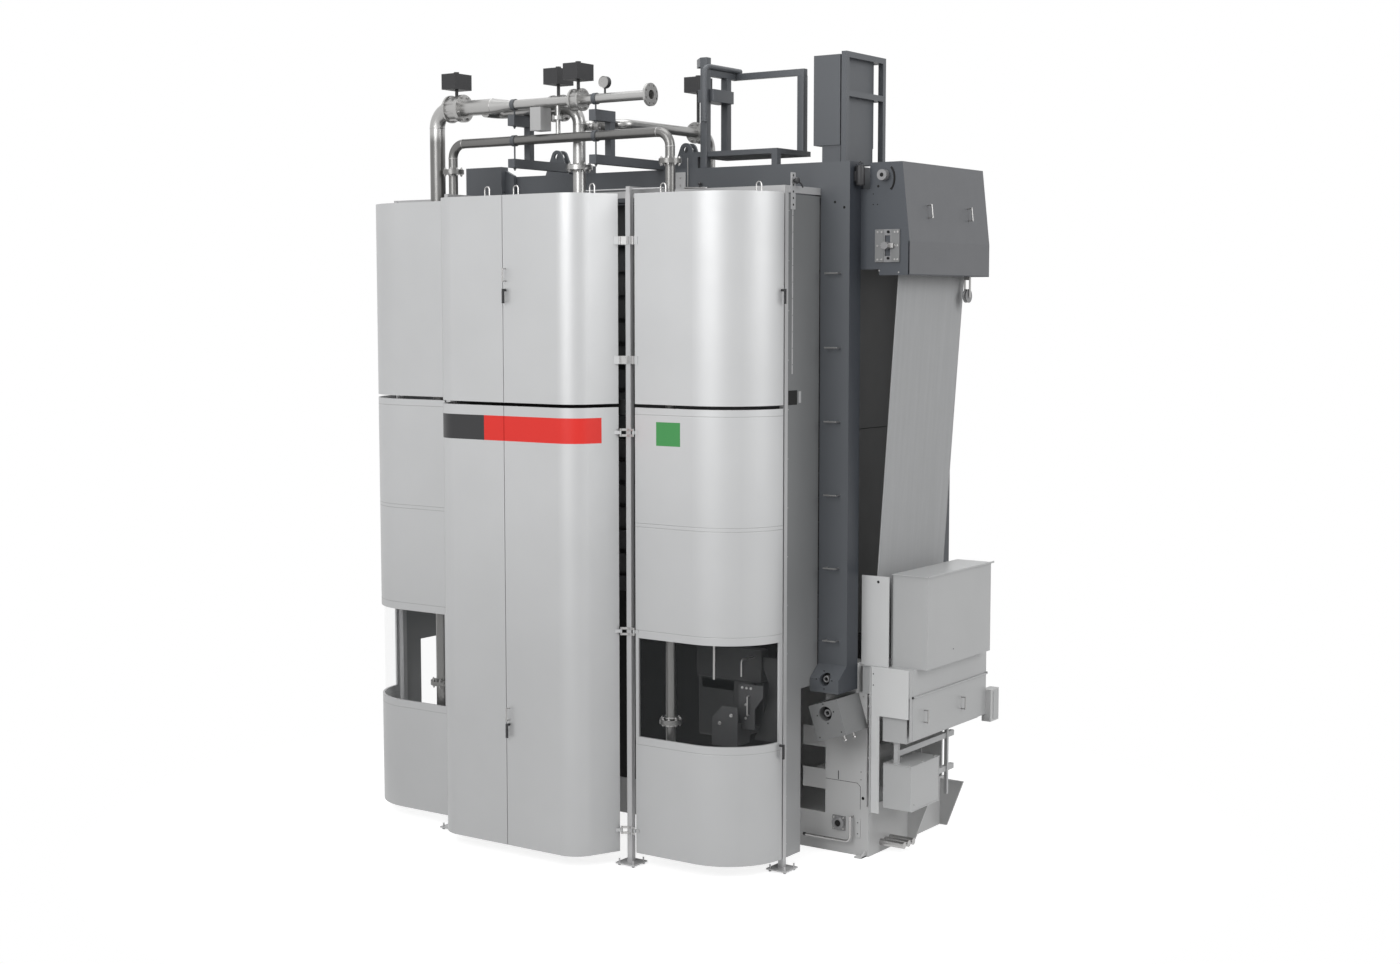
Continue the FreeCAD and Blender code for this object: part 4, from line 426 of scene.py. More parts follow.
class Bench:
    """The node tree of one material or world, and the single way in which nodes are added to it."""

    def __init__(self, owner: Any, end: str = "ShaderNodeOutputMaterial") -> None:
        owner.use_nodes = True
        self.owner = owner
        self.tree = owner.node_tree
        self.tree.nodes.clear()
        self.output = self.tree.nodes.new(end)

    @classmethod
    def material(cls, name: str) -> "Bench":
        """A bench on a new material."""
        return cls(bpy.data.materials.new(name))

    def node(self, kind: str, settings: dict[str, Any], sockets: dict[Any, Any]) -> Any:
        """Adds a node.

        Args:
            kind: Blender's name of the node type.
            settings: its own settings, such as a Math node's operation, set before its sockets.
            sockets: a wire, number or colour for each socket, by name or number.

        Returns:
            The node.
        """
        made = self.tree.nodes.new(kind)
        for name, setting in settings.items():
            setattr(made, name, setting)
        for name, content in sockets.items():
            if isinstance(content, Wire):
                self.tree.links.new(content.socket, made.inputs[name])
            else:
                made.inputs[name].default_value = content
        return made

    def add(self, kind: str, settings: dict[str, Any], sockets: dict[Any, Any], out: Any = 0) -> Wire:
        """Adds a node and gives the wire from one of its outputs."""
        return Wire(self, self.node(kind, settings, sockets).outputs[out])

    def place(self) -> Wire:
        """Object coordinates, which are metres in the row frame."""
        return self.add("ShaderNodeTexCoord", {}, {}, "Object")

    def split(self, vector: Wire) -> tuple[Wire, Wire, Wire]:
        """The three parts of a vector."""
        made = self.node("ShaderNodeSeparateXYZ", {}, {0: vector})
        return Wire(self, made.outputs[0]), Wire(self, made.outputs[1]), Wire(self, made.outputs[2])

    def seen(self) -> tuple[Wire, Wire, Wire]:
        """1 on rays straight from the camera, on glossy rays and on rays through glass."""
        made = self.node("ShaderNodeLightPath", {}, {})
        names = ("Is Camera Ray", "Is Glossy Ray", "Is Transmission Ray")
        first, second, third = (Wire(self, made.outputs[name]) for name in names)
        return first, second, third

    def noise(self, scale: float, detail: float = 4.0, stretch: Sequence[float] = (1, 1, 1),
              rough: float = 0.5) -> Wire:
        """Noise about 0.5, its pattern drawn out by a stretch on each axis."""
        spot = self.add("ShaderNodeMapping", {"vector_type": "POINT"},
                        {"Vector": self.place(), "Scale": tuple(stretch)})
        return self.add("ShaderNodeTexNoise", {},
                        {"Vector": spot, "Scale": scale, "Detail": detail, "Roughness": rough}, "Fac")

    def blend(self, amount: Any, first: Any, second: Any) -> Wire:
        """One colour turned into another by an amount from 0 to 1."""
        sockets = {index: content if isinstance(content, Wire) else (*content, 1.0)
                   for index, content in ((6, first), (7, second))}
        return self.add("ShaderNodeMix", {"data_type": "RGBA"}, {0: amount, **sockets}, 2)

    def relief(self, height: Wire, distance: float) -> Wire:
        """A Bump node over a height."""
        return self.add("ShaderNodeBump", {}, {"Height": height, "Distance": distance, "Strength": 1.0})

    def finish(self, sockets: dict[str, Any]) -> bpy.types.Material:
        """Ends the tree in a Principled BSDF with these sockets."""
        return self.end(self.add("ShaderNodeBsdfPrincipled", {}, sockets))

    def end(self, shader: Wire) -> Any:
        """Links a shader to the output, and gives the material or world."""
        self.tree.links.new(shader.socket, self.output.inputs[0])
        return self.owner


Colour = tuple[float, float, float]
WHITE = (1, 1, 1, 1)


def depths(colour: Colour, less: float, more: float) -> tuple[Colour, Colour]:
    """A darker and a lighter depth of a colour: each channel times two factors, at most 1."""
    low = tuple(channel * less for channel in colour)
    high = tuple(min(channel * more, 1.0) for channel in colour)
    return low, high


@dataclass(frozen=True)
class Paint:
    """Sprayed paint on sheet or plate: slight clouds, orange peel and a little dust."""

    name: str
    colour: Colour
    rough: float = 0.42
    metal: float = 0.0
    coat: float = 0.0
    dust: Colour = (0.5, 0.5, 0.5)
    dust_amount: float = 0.04
    cloud: float = 0.06
    cloud_scale: float = 1.3
    speck_scale: float = 38.0
    gloss_scale: float = 6.0
    gloss_spread: float = 0.12
    peel_scale: float = 420.0
    peel: float = 0.00012

    def base(self, bench: Bench) -> Wire:
        """The colour with its clouds: two depths of the same paint mixed by slow noise, with specks of dust."""
        clouded = bench.blend(bench.noise(self.cloud_scale, 3.0), *depths(self.colour, 1 - self.cloud, 1 + self.cloud))
        specks = bench.noise(self.speck_scale, 5.0, rough=0.7).band(0.66, 2.0, 0.06)
        return bench.blend(specks * self.dust_amount, clouded, self.dust)

    def gloss(self, bench: Bench) -> Wire:
        """The roughness: slow noise spread about its plain value."""
        return bench.noise(self.gloss_scale) * self.gloss_spread + (self.rough - self.gloss_spread / 2)

    def make(self) -> bpy.types.Material:
        """The material."""
        bench = Bench.material(self.name)
        return bench.finish({
            "Base Color": self.base(bench), "Roughness": self.gloss(bench), "Metallic": self.metal,
            "Coat Weight": self.coat, "Coat Roughness": 0.25,
            "Normal": bench.relief(bench.noise(self.peel_scale, 2.0), self.peel),
        })


@dataclass(frozen=True)
class DoorPaint(Paint):
    """Satin silver paint with the seam lines of the cabinet panels, a plain stripe, a plain square and painted shade
    that darkens it towards the floor.
    """

    gloss_spread: float = 0.1
    peel: float = 0.001
    peel_share: float = 0.12
    seams: tuple[float, ...] = (3.952, 3.017, 2.985, 2.087, 1.082)
    seam: float = 0.003
    seam_soft: float = 0.0012
    seam_colour: Colour = (0.22, 0.22, 0.22)
    seam_share: float = 0.45
    center: tuple[float, float] = (-1.445, 0.592)
    stripe: tuple[float, float, float, float] = (-1.372, 0.445, 3.707, 3.925)
    stripe_split: float = -0.655
    stripe_dark: Colour = (0.018, 0.018, 0.02)
    stripe_red: Colour = (0.72, 0.02, 0.012)
    square: tuple[float, float, float, float] = (0.886, 1.136, 3.692, 3.895)
    square_face: tuple[float, float] = (-1.3525, -1.3505)
    square_green: Colour = (0.045, 0.27, 0.07)
    # painted shade: below foot_top the doors darken towards the floor, for the light that falls from above
    foot_top: float = 3.6
    foot_shade: float = 0.3
    foot_colour: Colour = (0.12, 0.12, 0.12)

    def make(self) -> bpy.types.Material:
        """The material: painted shade darkens the paint towards the floor, and the marks lie over it as bands of X and
        Z.
        """
        bench = Bench.material(self.name)
        x, y, z = bench.split(bench.place())
        lines = [z.band(level - self.seam, level + self.seam, self.seam_soft) for level in self.seams]
        line = sum(lines[1:], lines[0]) * (1 - x.band(*self.center))
        left, right, low, high = self.stripe
        stripe = x.band(left, right) * z.band(low, high)
        dark = x.band(left, self.stripe_split)
        left, right, low, high = self.square
        square = x.band(left, right) * z.band(low, high) * y.band(*self.square_face, 0.0003)
        # painted shade: darker towards the floor
        foot = (1 - (z / self.foot_top).clamped()) * self.foot_shade
        colour = bench.blend(foot, self.base(bench), self.foot_colour)
        colour = bench.blend(line * self.seam_share, colour, self.seam_colour)
        colour = bench.blend(stripe, colour, bench.blend(dark, self.stripe_red, self.stripe_dark))
        colour = bench.blend(square, colour, self.square_green)
        grain = bench.noise(self.peel_scale, 2.0) * self.peel_share - line
        return bench.finish({
            "Base Color": colour, "Roughness": self.gloss(bench),
            "Metallic": (1 - stripe) * (1 - square) * self.metal,
            "Coat Weight": self.coat, "Coat Roughness": 0.22, "Normal": bench.relief(grain, self.peel),
        })


@dataclass(frozen=True)
class ColumnPaint(Paint):
    """The frame's paint, with painted shade: darker from the columns' right faces outwards along X, where they look to
    the washing unit in the hood's shadow.
    """

    right: float = 2.1022
    # painted shade for the faces beyond the columns' right face
    right_colour: Colour = (0.034, 0.039, 0.048)

    def base(self, bench: Bench) -> Wire:
        """The paint's colour, blended into the painted shade where X passes the columns' right face."""
        x, _, _ = bench.split(bench.place())
        # painted shade: darker beyond the columns' right face
        return bench.blend(x.band(self.right, 9.0, 0.0002), Paint.base(self, bench), self.right_colour)


@dataclass(frozen=True)
class SidePaint(Paint):
    """The side panels' paint, with painted light from the floor's bounce: lighter towards the floor."""

    low: float = 1.2
    span: float = 1.6
    # painted light: the lighter grey near the floor, for the light that the floor throws back
    low_colour: Colour = (0.31, 0.313, 0.317)

    def base(self, bench: Bench) -> Wire:
        """The paint's colour, blended into the painted floor light by how far Z lies below the top of the span."""
        _, _, z = bench.split(bench.place())
        near = ((self.low + self.span - z) / self.span).clamped()
        # painted light: lighter towards the floor
        return bench.blend(near * near, Paint.base(self, bench), self.low_colour)


@dataclass(frozen=True)
class HoodPaint(Paint):
    """The hood's paint: its folded cover is lighter than its two flat side plates."""

    side_colour: Colour = (0.056, 0.063, 0.074)
    side_cloud: float = 1.6
    faces: tuple[float, float] = (-0.0032, 1.5002)

    def base(self, bench: Bench) -> Wire:
        """The cover's colour between the two side plates' Y, and the deeper side colour on them."""
        _, y, _ = bench.split(bench.place())
        side = bench.blend(bench.noise(self.cloud_scale, 3.0) * 0.12,
                           *depths(self.side_colour, 1.0, self.side_cloud))
        return bench.blend(y.band(*self.faces, 0.0004), side, Paint.base(self, bench))


@dataclass(frozen=True)
class Steel:
    """Pickled or brushed stainless steel, with fine drawn lines along one way, and painted light: a lighter colour
    above a height, for level runs lit from above.
    """

    name: str
    colour: Colour
    rough: float = 0.34
    stretch: tuple[float, float, float] = (1, 1, 1)
    metal: float = 0.9
    high: float = 99.0
    # painted light on the runs above the height
    high_colour: Colour = (0.5, 0.49, 0.475)

    def make(self) -> bpy.types.Material:
        """The material: noise drawn into lines, mixed with clouds, and the painted light colour above the height."""
        bench = Bench.material(self.name)
        _, _, z = bench.split(bench.place())
        lines = bench.noise(90.0, 3.0, self.stretch)
        drawn = bench.blend(bench.noise(2.4, 3.0) * 0.6 + lines * 0.4, *depths(self.colour, 0.82, 1.12))
        return bench.finish({
            # painted light: lighter above the height
            "Base Color": bench.blend(z.band(self.high, 100.0, 0.05), drawn, self.high_colour),
            "Roughness": lines * 0.16 + (self.rough - 0.08), "Metallic": self.metal,
            "Normal": bench.relief(lines, 0.0002),
        })


@dataclass(frozen=True)
class Casting:
    """A cast or ground case: coarse grain under a thin coat."""

    name: str
    colour: Colour
    rough: float = 0.5
    metal: float = 0.0
    grain: float = 0.0006

    def make(self) -> bpy.types.Material:
        """The material."""
        bench = Bench.material(self.name)
        coarse = bench.noise(160.0, 5.0, rough=0.65)
        return bench.finish({
            "Base Color": bench.blend(coarse, *depths(self.colour, 0.8, 1.2)),
            "Roughness": coarse * 0.2 + (self.rough - 0.1), "Metallic": self.metal,
            "Normal": bench.relief(coarse, self.grain),
        })


@dataclass(frozen=True)
class WovenCloth:
    """Dense synthetic filter cloth: a twill weave on the piece's own map in metres, with faint wash streaks."""

    name: str
    colour: Colour = (0.4, 0.406, 0.412)
    thread: float = 0.0016

    def make(self) -> bpy.types.Material:
        """The material: the weave is two sines of the map's distances over the thread's width."""
        bench = Bench.material(self.name)
        across, along, _ = bench.split(bench.add("ShaderNodeUVMap", {"uv_map": "cloth"}, {}))
        turn = 2 * math.pi / self.thread
        weave = ((across + along * 0.5) * turn).sine() * 0.5 + (along * turn).sine() * 0.3 + 0.5
        tone = bench.noise(3.0, 4.0, (1, 7, 0.25)) * 0.65 + bench.noise(14.0, 3.0, (1, 5, 0.3)) * 0.35
        return bench.finish({
            "Base Color": bench.blend(tone, *depths(self.colour, 0.86, 1.12)),
            "Roughness": weave * 0.1 + 0.72, "Sheen Weight": 0.15, "Normal": bench.relief(weave, 0.0003),
        })


@dataclass(frozen=True)
class ClearSheet:
    """Clear polycarbonate: a smooth coat that lets most light through, with faint scuffs."""

    name: str
    colour: Colour = (0.3, 0.32, 0.33)
    cover: float = 0.01
    gloss: float = 0.12

    def make(self) -> bpy.types.Material:
        """The material."""
        bench = Bench.material(self.name)
        scuffs = bench.noise(24.0, 5.0, (1, 1, 4), 0.7)
        return bench.finish({
            "Base Color": bench.blend(scuffs, *depths(self.colour, 0.9, 1.0)), "Roughness": scuffs * 0.1 + 0.04,
            "Alpha": scuffs * 0.03 + self.cover, "Specular IOR Level": self.gloss,
            "Normal": bench.relief(scuffs, 0.00005),
        })


class Finishes:
    """Every finish of the press, made once, and the nodes that wear each."""

    NODES: ClassVar[dict[str, str]] = {
        "door": "upper_doors center_door_lower_left center_door_lower_right left_door_lower right_door_lower",
        "silver": "cabinet_frame",
        "shade": "side_panels",
        "dark": "press_beams press_columns foot_blocks platform gantry tower_box guard_frame beam_fittings "
                "pipe_supports",
        "hood": "hood",
        "pale": "base_plates base_cross_members wash_feet end_bracket",
        "block": "tilted_blocks",
        "wash": "sump_box wash_housing wash_cover low_box wash_rails",
        "front": "wash_plates",
        "pipe": "branch_pipes",
        "riser": "feed_pipe second_pipe",
        "bright": "post_hinges center_handle_low fixed_handles pulley_hanger drain_stubs",
        "cast": "bearings hood_adjuster hanging_pulley",
        "drum": "rollers",
        "wash_box": "control_box",
        "case": "valve_actuators pressure_gauge center_lever_low right_lever_low upper_levers",
        "plates": "plate_pack",
        "pane": "left_window_pane right_window_pane",
        "cloth": "filter_cloth",
    }

    def __init__(self) -> None:
        self.door = DoorPaint("silver_door_paint", (0.55, 0.555, 0.56), 0.44, 0.5, 0.04).make()
        self.silver = Paint("silver_frame_paint", (0.47, 0.47, 0.475), 0.4, 0.3, 0.1).make()
        # painted shade: the side panels' grey is darkened for the shade between the column and the cabinet; SidePaint
        # adds painted light near the floor
        self.shade = SidePaint("side_panel_painted_shading", (0.19, 0.195, 0.198), 0.4, 0.2, dust=(0.3,) * 3).make()
        # painted shade: ColumnPaint darkens this paint beyond the columns' right faces
        self.dark = ColumnPaint("slate_grey_paint", (0.088, 0.095, 0.105), dust=(0.2,) * 3).make()
        self.hood = HoodPaint("hood_grey_paint", (0.118, 0.122, 0.13), 0.46, dust=(0.3,) * 3).make()
        self.pale = Paint("pale_grey_paint", (0.54, 0.542, 0.542), 0.4, dust=(0.6,) * 3).make()
        self.block = Paint("block_grey_paint", (0.2, 0.203, 0.205), 0.4, dust=(0.4,) * 3).make()
        self.wash = Paint("wash_grey_sheet", (0.45, 0.455, 0.457), 0.36, 0.15, dust=(0.6,) * 3).make()
        # painted light: lighter than the washing unit's grey, to lift the cabinet's shadow off the front plates and the
        # throat's rear sheet and pan
        self.front = Paint("wash_front_painted_light", (0.64, 0.645, 0.645), 0.38, 0.1, dust=(0.7,) * 3).make()
        self.sheet = ColumnPaint("pack_side_paint", (0.16, 0.16, 0.161), 0.5, dust=(0.15,) * 3).make()
        self.wash_box = Paint("control_box_paint", (0.45,) * 3, 0.4, dust=(0.3,) * 3).make()
        self.gear = Paint("gear_plate_paint", (0.045, 0.045, 0.047), 0.5, dust=(0.12,) * 3).make()
        self.pipe = Steel("pickled_pipe_steel", (0.4, 0.398, 0.392), 0.3, (0.05, 1, 1), 0.8).make()
        # painted light: the riser's level runs above 6.42 m take a lighter colour
        self.riser = Steel("pickled_riser_steel", (0.19, 0.188, 0.184), 0.32, (1, 1, 0.05), 0.8, 6.42,
                           (0.44, 0.437, 0.43)).make()
        self.bright = Steel("bright_fastener_steel", (0.42, 0.415, 0.41), 0.3).make()
        self.drum = Steel("roller_drum_steel", (0.62,) * 3, 0.36, (1, 0.04, 1), 0.7).make()
        self.case = Casting("actuator_case_black", (0.022, 0.022, 0.024)).make()
        self.cast = Casting("machined_cast_grey", (0.24, 0.24, 0.245), 0.42, 0.4).make()
        self.plates = Casting("dark_pack_plates", (0.045, 0.045, 0.046), 0.6).make()
        self.inner = Casting("dark_inner_housing", (0.028, 0.028, 0.029), 0.6).make()
        # painted shade: near-black for holes, bores, slots, the door slot's rail, the keeper's notch and the sheet
        # behind the window bay; the tower's seams wear it as dark joints
        self.lining = Casting("painted_shade_and_seam_black", (0.006,) * 3, 0.9).make()
        self.cloth = WovenCloth("filter_cloth_weave").make()
        self.pane = ClearSheet("clear_window_sheet").make()

    def for_node(self, name: str) -> bpy.types.Material:
        """The finish of a CAD node, by the name of the node."""
        for finish, names in self.NODES.items():
            if name in names.split():
                return getattr(self, finish)
        return self.dark


class Workshop:
    """Turns shapes into finished pieces that ride on the fixed body."""

    def __init__(self, finishes: Finishes) -> None:
        self.finishes = finishes

    def piece(self, name: str, shape: Shape, finish: str, smooth: float = 35.0) -> bpy.types.Object:
        """Makes one piece.

        Args:
            name: the piece's name.
            shape: its points and faces.
            finish: the name of its finish.
            smooth: the angle in degrees over which an edge stays sharp.

        Returns:
            The object, at the origin with its place in its mesh.
        """
        mesh = bpy.data.meshes.new(name)
        mesh.from_pydata(shape.points.tolist(), [], shape.quads.tolist() + [cap.tolist() for cap in shape.caps])
        mesh.validate()
        mesh.materials.append(getattr(self.finishes, finish))
        mesh.shade_smooth()
        mesh.set_sharp_from_angle(angle=math.radians(smooth))
        thing = bpy.data.objects.new(name, mesh)
        bpy.context.scene.collection.objects.link(thing)
        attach(thing, "root")
        LOG.info("piece %s: %d faces", name, len(mesh.polygons))
        return thing


Place = tuple[float, float, float]
Block = tuple[Any, ...]


def plates(*blocks: Block) -> Shape:
    """Several plates in one: each block is plate_between's two corners, with its radius and edge if it has them."""
    return join(plate_between(*block) for block in blocks)


@dataclass
class Pipework:
    """Studs, nuts and welds of the pipe lines over the cabinets.

    A pair of flanges is its middle in millimetres, the way it faces, and in metres the radius of its ring of eight
    studs, the radius of a nut and how far its outer faces lie from the middle. A weld is its place, way and radius.
    """

    pairs: tuple[tuple[Place, Axis, float, float, float], ...] = (
        ((-1595, -1080, 6103), Axis.Z, 0.080, 0.0115, 0.020),
        ((856, -1080, 6103), Axis.Z, 0.080, 0.0115, 0.020),
        ((856, -1080, 1278), Axis.Z, 0.080, 0.0115, 0.020),
        ((-1595, -1080, 1250), Axis.Z, 0.080, 0.0115, 0.020),
        ((-1785, -1080, 1330), Axis.Z, 0.105, 0.013, 0.020),
        ((-279, -880, 6103), Axis.Z, 0.095, 0.0125, 0.020),
        ((-1533, -1080, 6672), Axis.X, 0.104, 0.013, 0.086),
        ((-512, -880, 6636), Axis.X, 0.097, 0.0125, 0.065),
        ((-129, -1080, 6672), Axis.X, 0.080, 0.0115, 0.055),
        ((130, 385, 6476), Axis.Y, 0.080, 0.0115, 0.060),
        ((-110, -760, 6476), Axis.X, 0.080, 0.0115, 0.020),
    )
    studs: int = 8
    branch: tuple[Place, Axis, float, int, float, float] = ((-358, -1080, 6528), Axis.Z, 0.044, 4, 0.009, 0.015)
    welds: tuple[tuple[Place, Axis, float], ...] = (
        ((-1785, -1080, 6507), Axis.Z, 0.070), ((-1620, -1080, 6672), Axis.X, 0.070),
        ((-1105, -1080, 6672), Axis.X, 0.070), ((-900, -1080, 6672), Axis.X, 0.042),
        ((-1595, -1080, 6225), Axis.Z, 0.042), ((-1467, -1080, 6353), Axis.X, 0.042),
        ((728, -1080, 6353), Axis.X, 0.042), ((856, -1080, 6225), Axis.Z, 0.042),
        ((-279, -880, 6484), Axis.Z, 0.057), ((-431, -880, 6636), Axis.X, 0.057),
    )
    bead_rise: float = 0.0022
    bead_half: float = 0.004
    gauge: Place = (164, -1102.5, 6805)
    rim: tuple[tuple[float, float], ...] = ((0.052, 0.002), (0.052, -0.004), (0.050, -0.004), (0.046, -0.0006))

    def build(self, shop: Workshop) -> None:
        """Makes the studs of each flange pair, the weld beads, whose rise is a parabola, and the gauge's rim."""
        rings = [bolt_ring(at(*spot), axis, circle, self.studs, across, reach)
                 for spot, axis, circle, across, reach in self.pairs]
        spot, *rest = self.branch
        shop.piece("flange_studs", join(rings + [bolt_ring(at(*spot), *rest)]), "bright")
        turn = np.linspace(-1, 1, 5)
        beads = [lathe([(radius + self.bead_rise * (1 - t * t), self.bead_half * t) for t in turn], at(*spot), axis, 32)
                 for spot, axis, radius in self.welds]
        shop.piece("weld_beads", join(beads), "bright")
        shop.piece("gauge_rim", lathe(self.rim, at(*self.gauge), Axis.Y, 36), "bright")


@dataclass
class Cabinets:
    """Lifting eyes, keepers and trim of the three cabinets."""

    eyes: tuple[tuple[float, float], ...] = ((-639, -1715), (-315, -1715), (374, -1539), (920, -1270), (1700, -995))
    door_top: float = 5830
    eye_wire: float = 0.006
    eye_half: float = 0.025
    eye_top: float = 0.05
    panel_x: float = 1772
    strip_y: float = -581
    knob_z: float = 5932
    strip: tuple[Block, ...] = (
        ((1772, -617, 5690), (1778, -545, 6000), 6), ((1772, -593, 4300), (1776, -575, 5690), 2),
        ((1772, -478, 4050), (1777, -440, 4150), 4),
    )
    rail: Block = ((-1470, -1262, 3940), (540, -1244, 4075), 4)
    notch: Block = ((1772, -640, 4037), (1774, -500, 4161), 4)
    holes: tuple[float, ...] = (5730, 5785, 5840, 5895, 5975)
    knob: tuple[tuple[float, float], ...] = ((14, 0), (14, 16), (26, 20), (30, 30), (26, 44), (10, 50))
    screw_y: float = -640

    def eye(self, x: float, y: float) -> Shape:
        """A wire eye on a door's top: two legs and a half ring between them."""
        turn = np.linspace(0, math.pi, 13)
        half = self.eye_half
        arc = np.stack([half * np.cos(turn), np.zeros_like(turn), self.eye_top + half * np.sin(turn)], axis=1)
        path = np.vstack([[half, 0, 0.0], arc, [-half, 0, 0.0]]) + at(x, y, self.door_top)
        return tube(path, self.eye_wire, (0, 1, 0), 8)

    def build(self, shop: Workshop) -> None:
        """Makes the eyes, the perforated keeper strip, its knob, the notch with its plate and the slot's rail."""
        x, y, z = self.panel_x, self.strip_y, self.knob_z
        shop.piece("lifting_eyes", join(self.eye(*spot) for spot in self.eyes), "bright")
        shop.piece("keeper_strip", plates(*self.strip), "silver")
        # painted shade: the slot's rail is black
        shop.piece("slot_rail", plates(self.rail), "lining")
        # painted shade: the keeper's holes and the notch plate are black
        holes = discs([(x + 6, y, high) for high in self.holes], Axis.X, 10, 0.6)
        small = discs([(x + 4, y - 3, high) for high in range(4380, 5660, 140)], Axis.X, 4, 0.6, 10)
        shop.piece("keeper_holes", join([holes, small, plates(self.notch)]), "lining")
        knob = lathe(np.array(self.knob) / 1000, at(x + 6, y + 10, z), Axis.X, 16)
        grip = bent([(x + 40, y + 10, z), (x + 46, y + 60, z - 27), (x + 40, y + 96, z - 52)], 7, 18, (1, 0, 0))
        shop.piece("keeper_knob", join([knob, grip]), "case")
        heads = [(x, self.screw_y, high) for high in (*range(230, 1700, 210), *range(1900, 5700, 420))]
        shop.piece("side_panel_screws", discs(heads, Axis.X, 5, 1.5, 10), "silver")


@dataclass
class WindowBay:
    """What shows through the right window: the pressing gear, its plates and rods, before a black sheet of painted
    shade.
    """

    # painted shade: a black sheet behind the bay, where there is only shade
    lining: Block = ((-620, 114.6, 342), (1390, 119.6, 2160), 4)
    housing: tuple[Block, ...] = (
        ((763, -520, 1050), (1165, 119.6, 1600), 30, 8), ((796, -600, 1600), (1481, -480, 1890), 20, 6),
        ((796, -520, 1480), (1165, -400, 1745), 20, 6), ((1165, -560, 1205), (1479, -410, 1600), 20, 6),
    )
    guard: tuple[tuple[float, float], ...] = (
        (1387, 1089), (1690, 1089), (1690, 1828), (1439, 1828), (1539, 1600), (1519, 1400), (1447, 1205),
    )
    bracket: tuple[tuple[float, float], ...] = ((1098, 1050), (1365, 1050), (1365, 1405), (1208, 1405), (1098, 1295))
    bracket_ribs: tuple[Block, ...] = (
        ((1098, -788, 1050), (1110, -520, 1295), 3), ((1330, -788, 1060), (1342, -570, 1250), 3),
    )
    front: tuple[tuple[float, float], ...] = (
        (1312, 1205), (1479, 1205), (1479, 1388), (1565, 1500), (1565, 1600), (1312, 1600),
    )
    front_pins: tuple[Place, ...] = ((1395, -688, 1572), (1395, -688, 1233))
    bracket_bolts: tuple[Place, ...] = ((1180, -800, 1250), (1300, -800, 1330))
    front_bolts: tuple[Place, ...] = (
        (1350, -700, 1568), (1395, -700, 1568), (1440, -700, 1568), (1385, -700, 1300), (1385, -700, 1420),
    )
    rods: tuple[tuple[tuple[Place, ...], float, float], ...] = (
        (((1256, -1000, 1677), (1256, -1000, 2110), (1256, 114.6, 2110)), 11, 40),
        (((1405, -800, 1685), (1405, -800, 1830), (1405, -600, 1830)), 7, 30),
        (((1420, -700, 1330), (1420, -730, 1330), (1420, -730, 1500), (1420, -700, 1500)), 6, 12),
    )
    collars: tuple[Place, ...] = ((856, -1080, 1238), (856, -1080, 1306))

    def build(self, shop: Workshop) -> None:
        """Makes the black sheet of painted shade, the housing with its beam, the guard sheet, the two gear plates and
        the rods.
        """
        shop.piece("bay_painted_shade", plates(self.lining), "lining")
        shop.piece("gear_housing", plates(*self.housing), "inner")
        shop.piece("gear_guard", cut_plate(self.guard, -570, -560, Axis.Y, 12), "inner")
        bracket = join([cut_plate(self.bracket, -800, -788, Axis.Y, 6), plates(*self.bracket_ribs)])
        shop.piece("gear_bracket", bracket, "gear")
        front = [cut_plate(self.front, -700, -688, Axis.Y, 8)]
        front += [pin(spot, Axis.Y, 118, 14) for spot in self.front_pins]
        shop.piece("gear_front_plate", join(front), "gear")
        rods = [hexes(self.bracket_bolts, Axis.Y, 14, -12), hexes(self.front_bolts, Axis.Y, 10, -10)]
        rods += [bent(corners, radius, bend, (1, 0, 0)) for corners, radius, bend in self.rods]
        shop.piece("gear_rods", join(rods), "bright")
        collars = join(pin(spot, Axis.Z, 12, 62) for spot in self.collars)
        shop.piece("window_pipe_collars", collars, "bright")


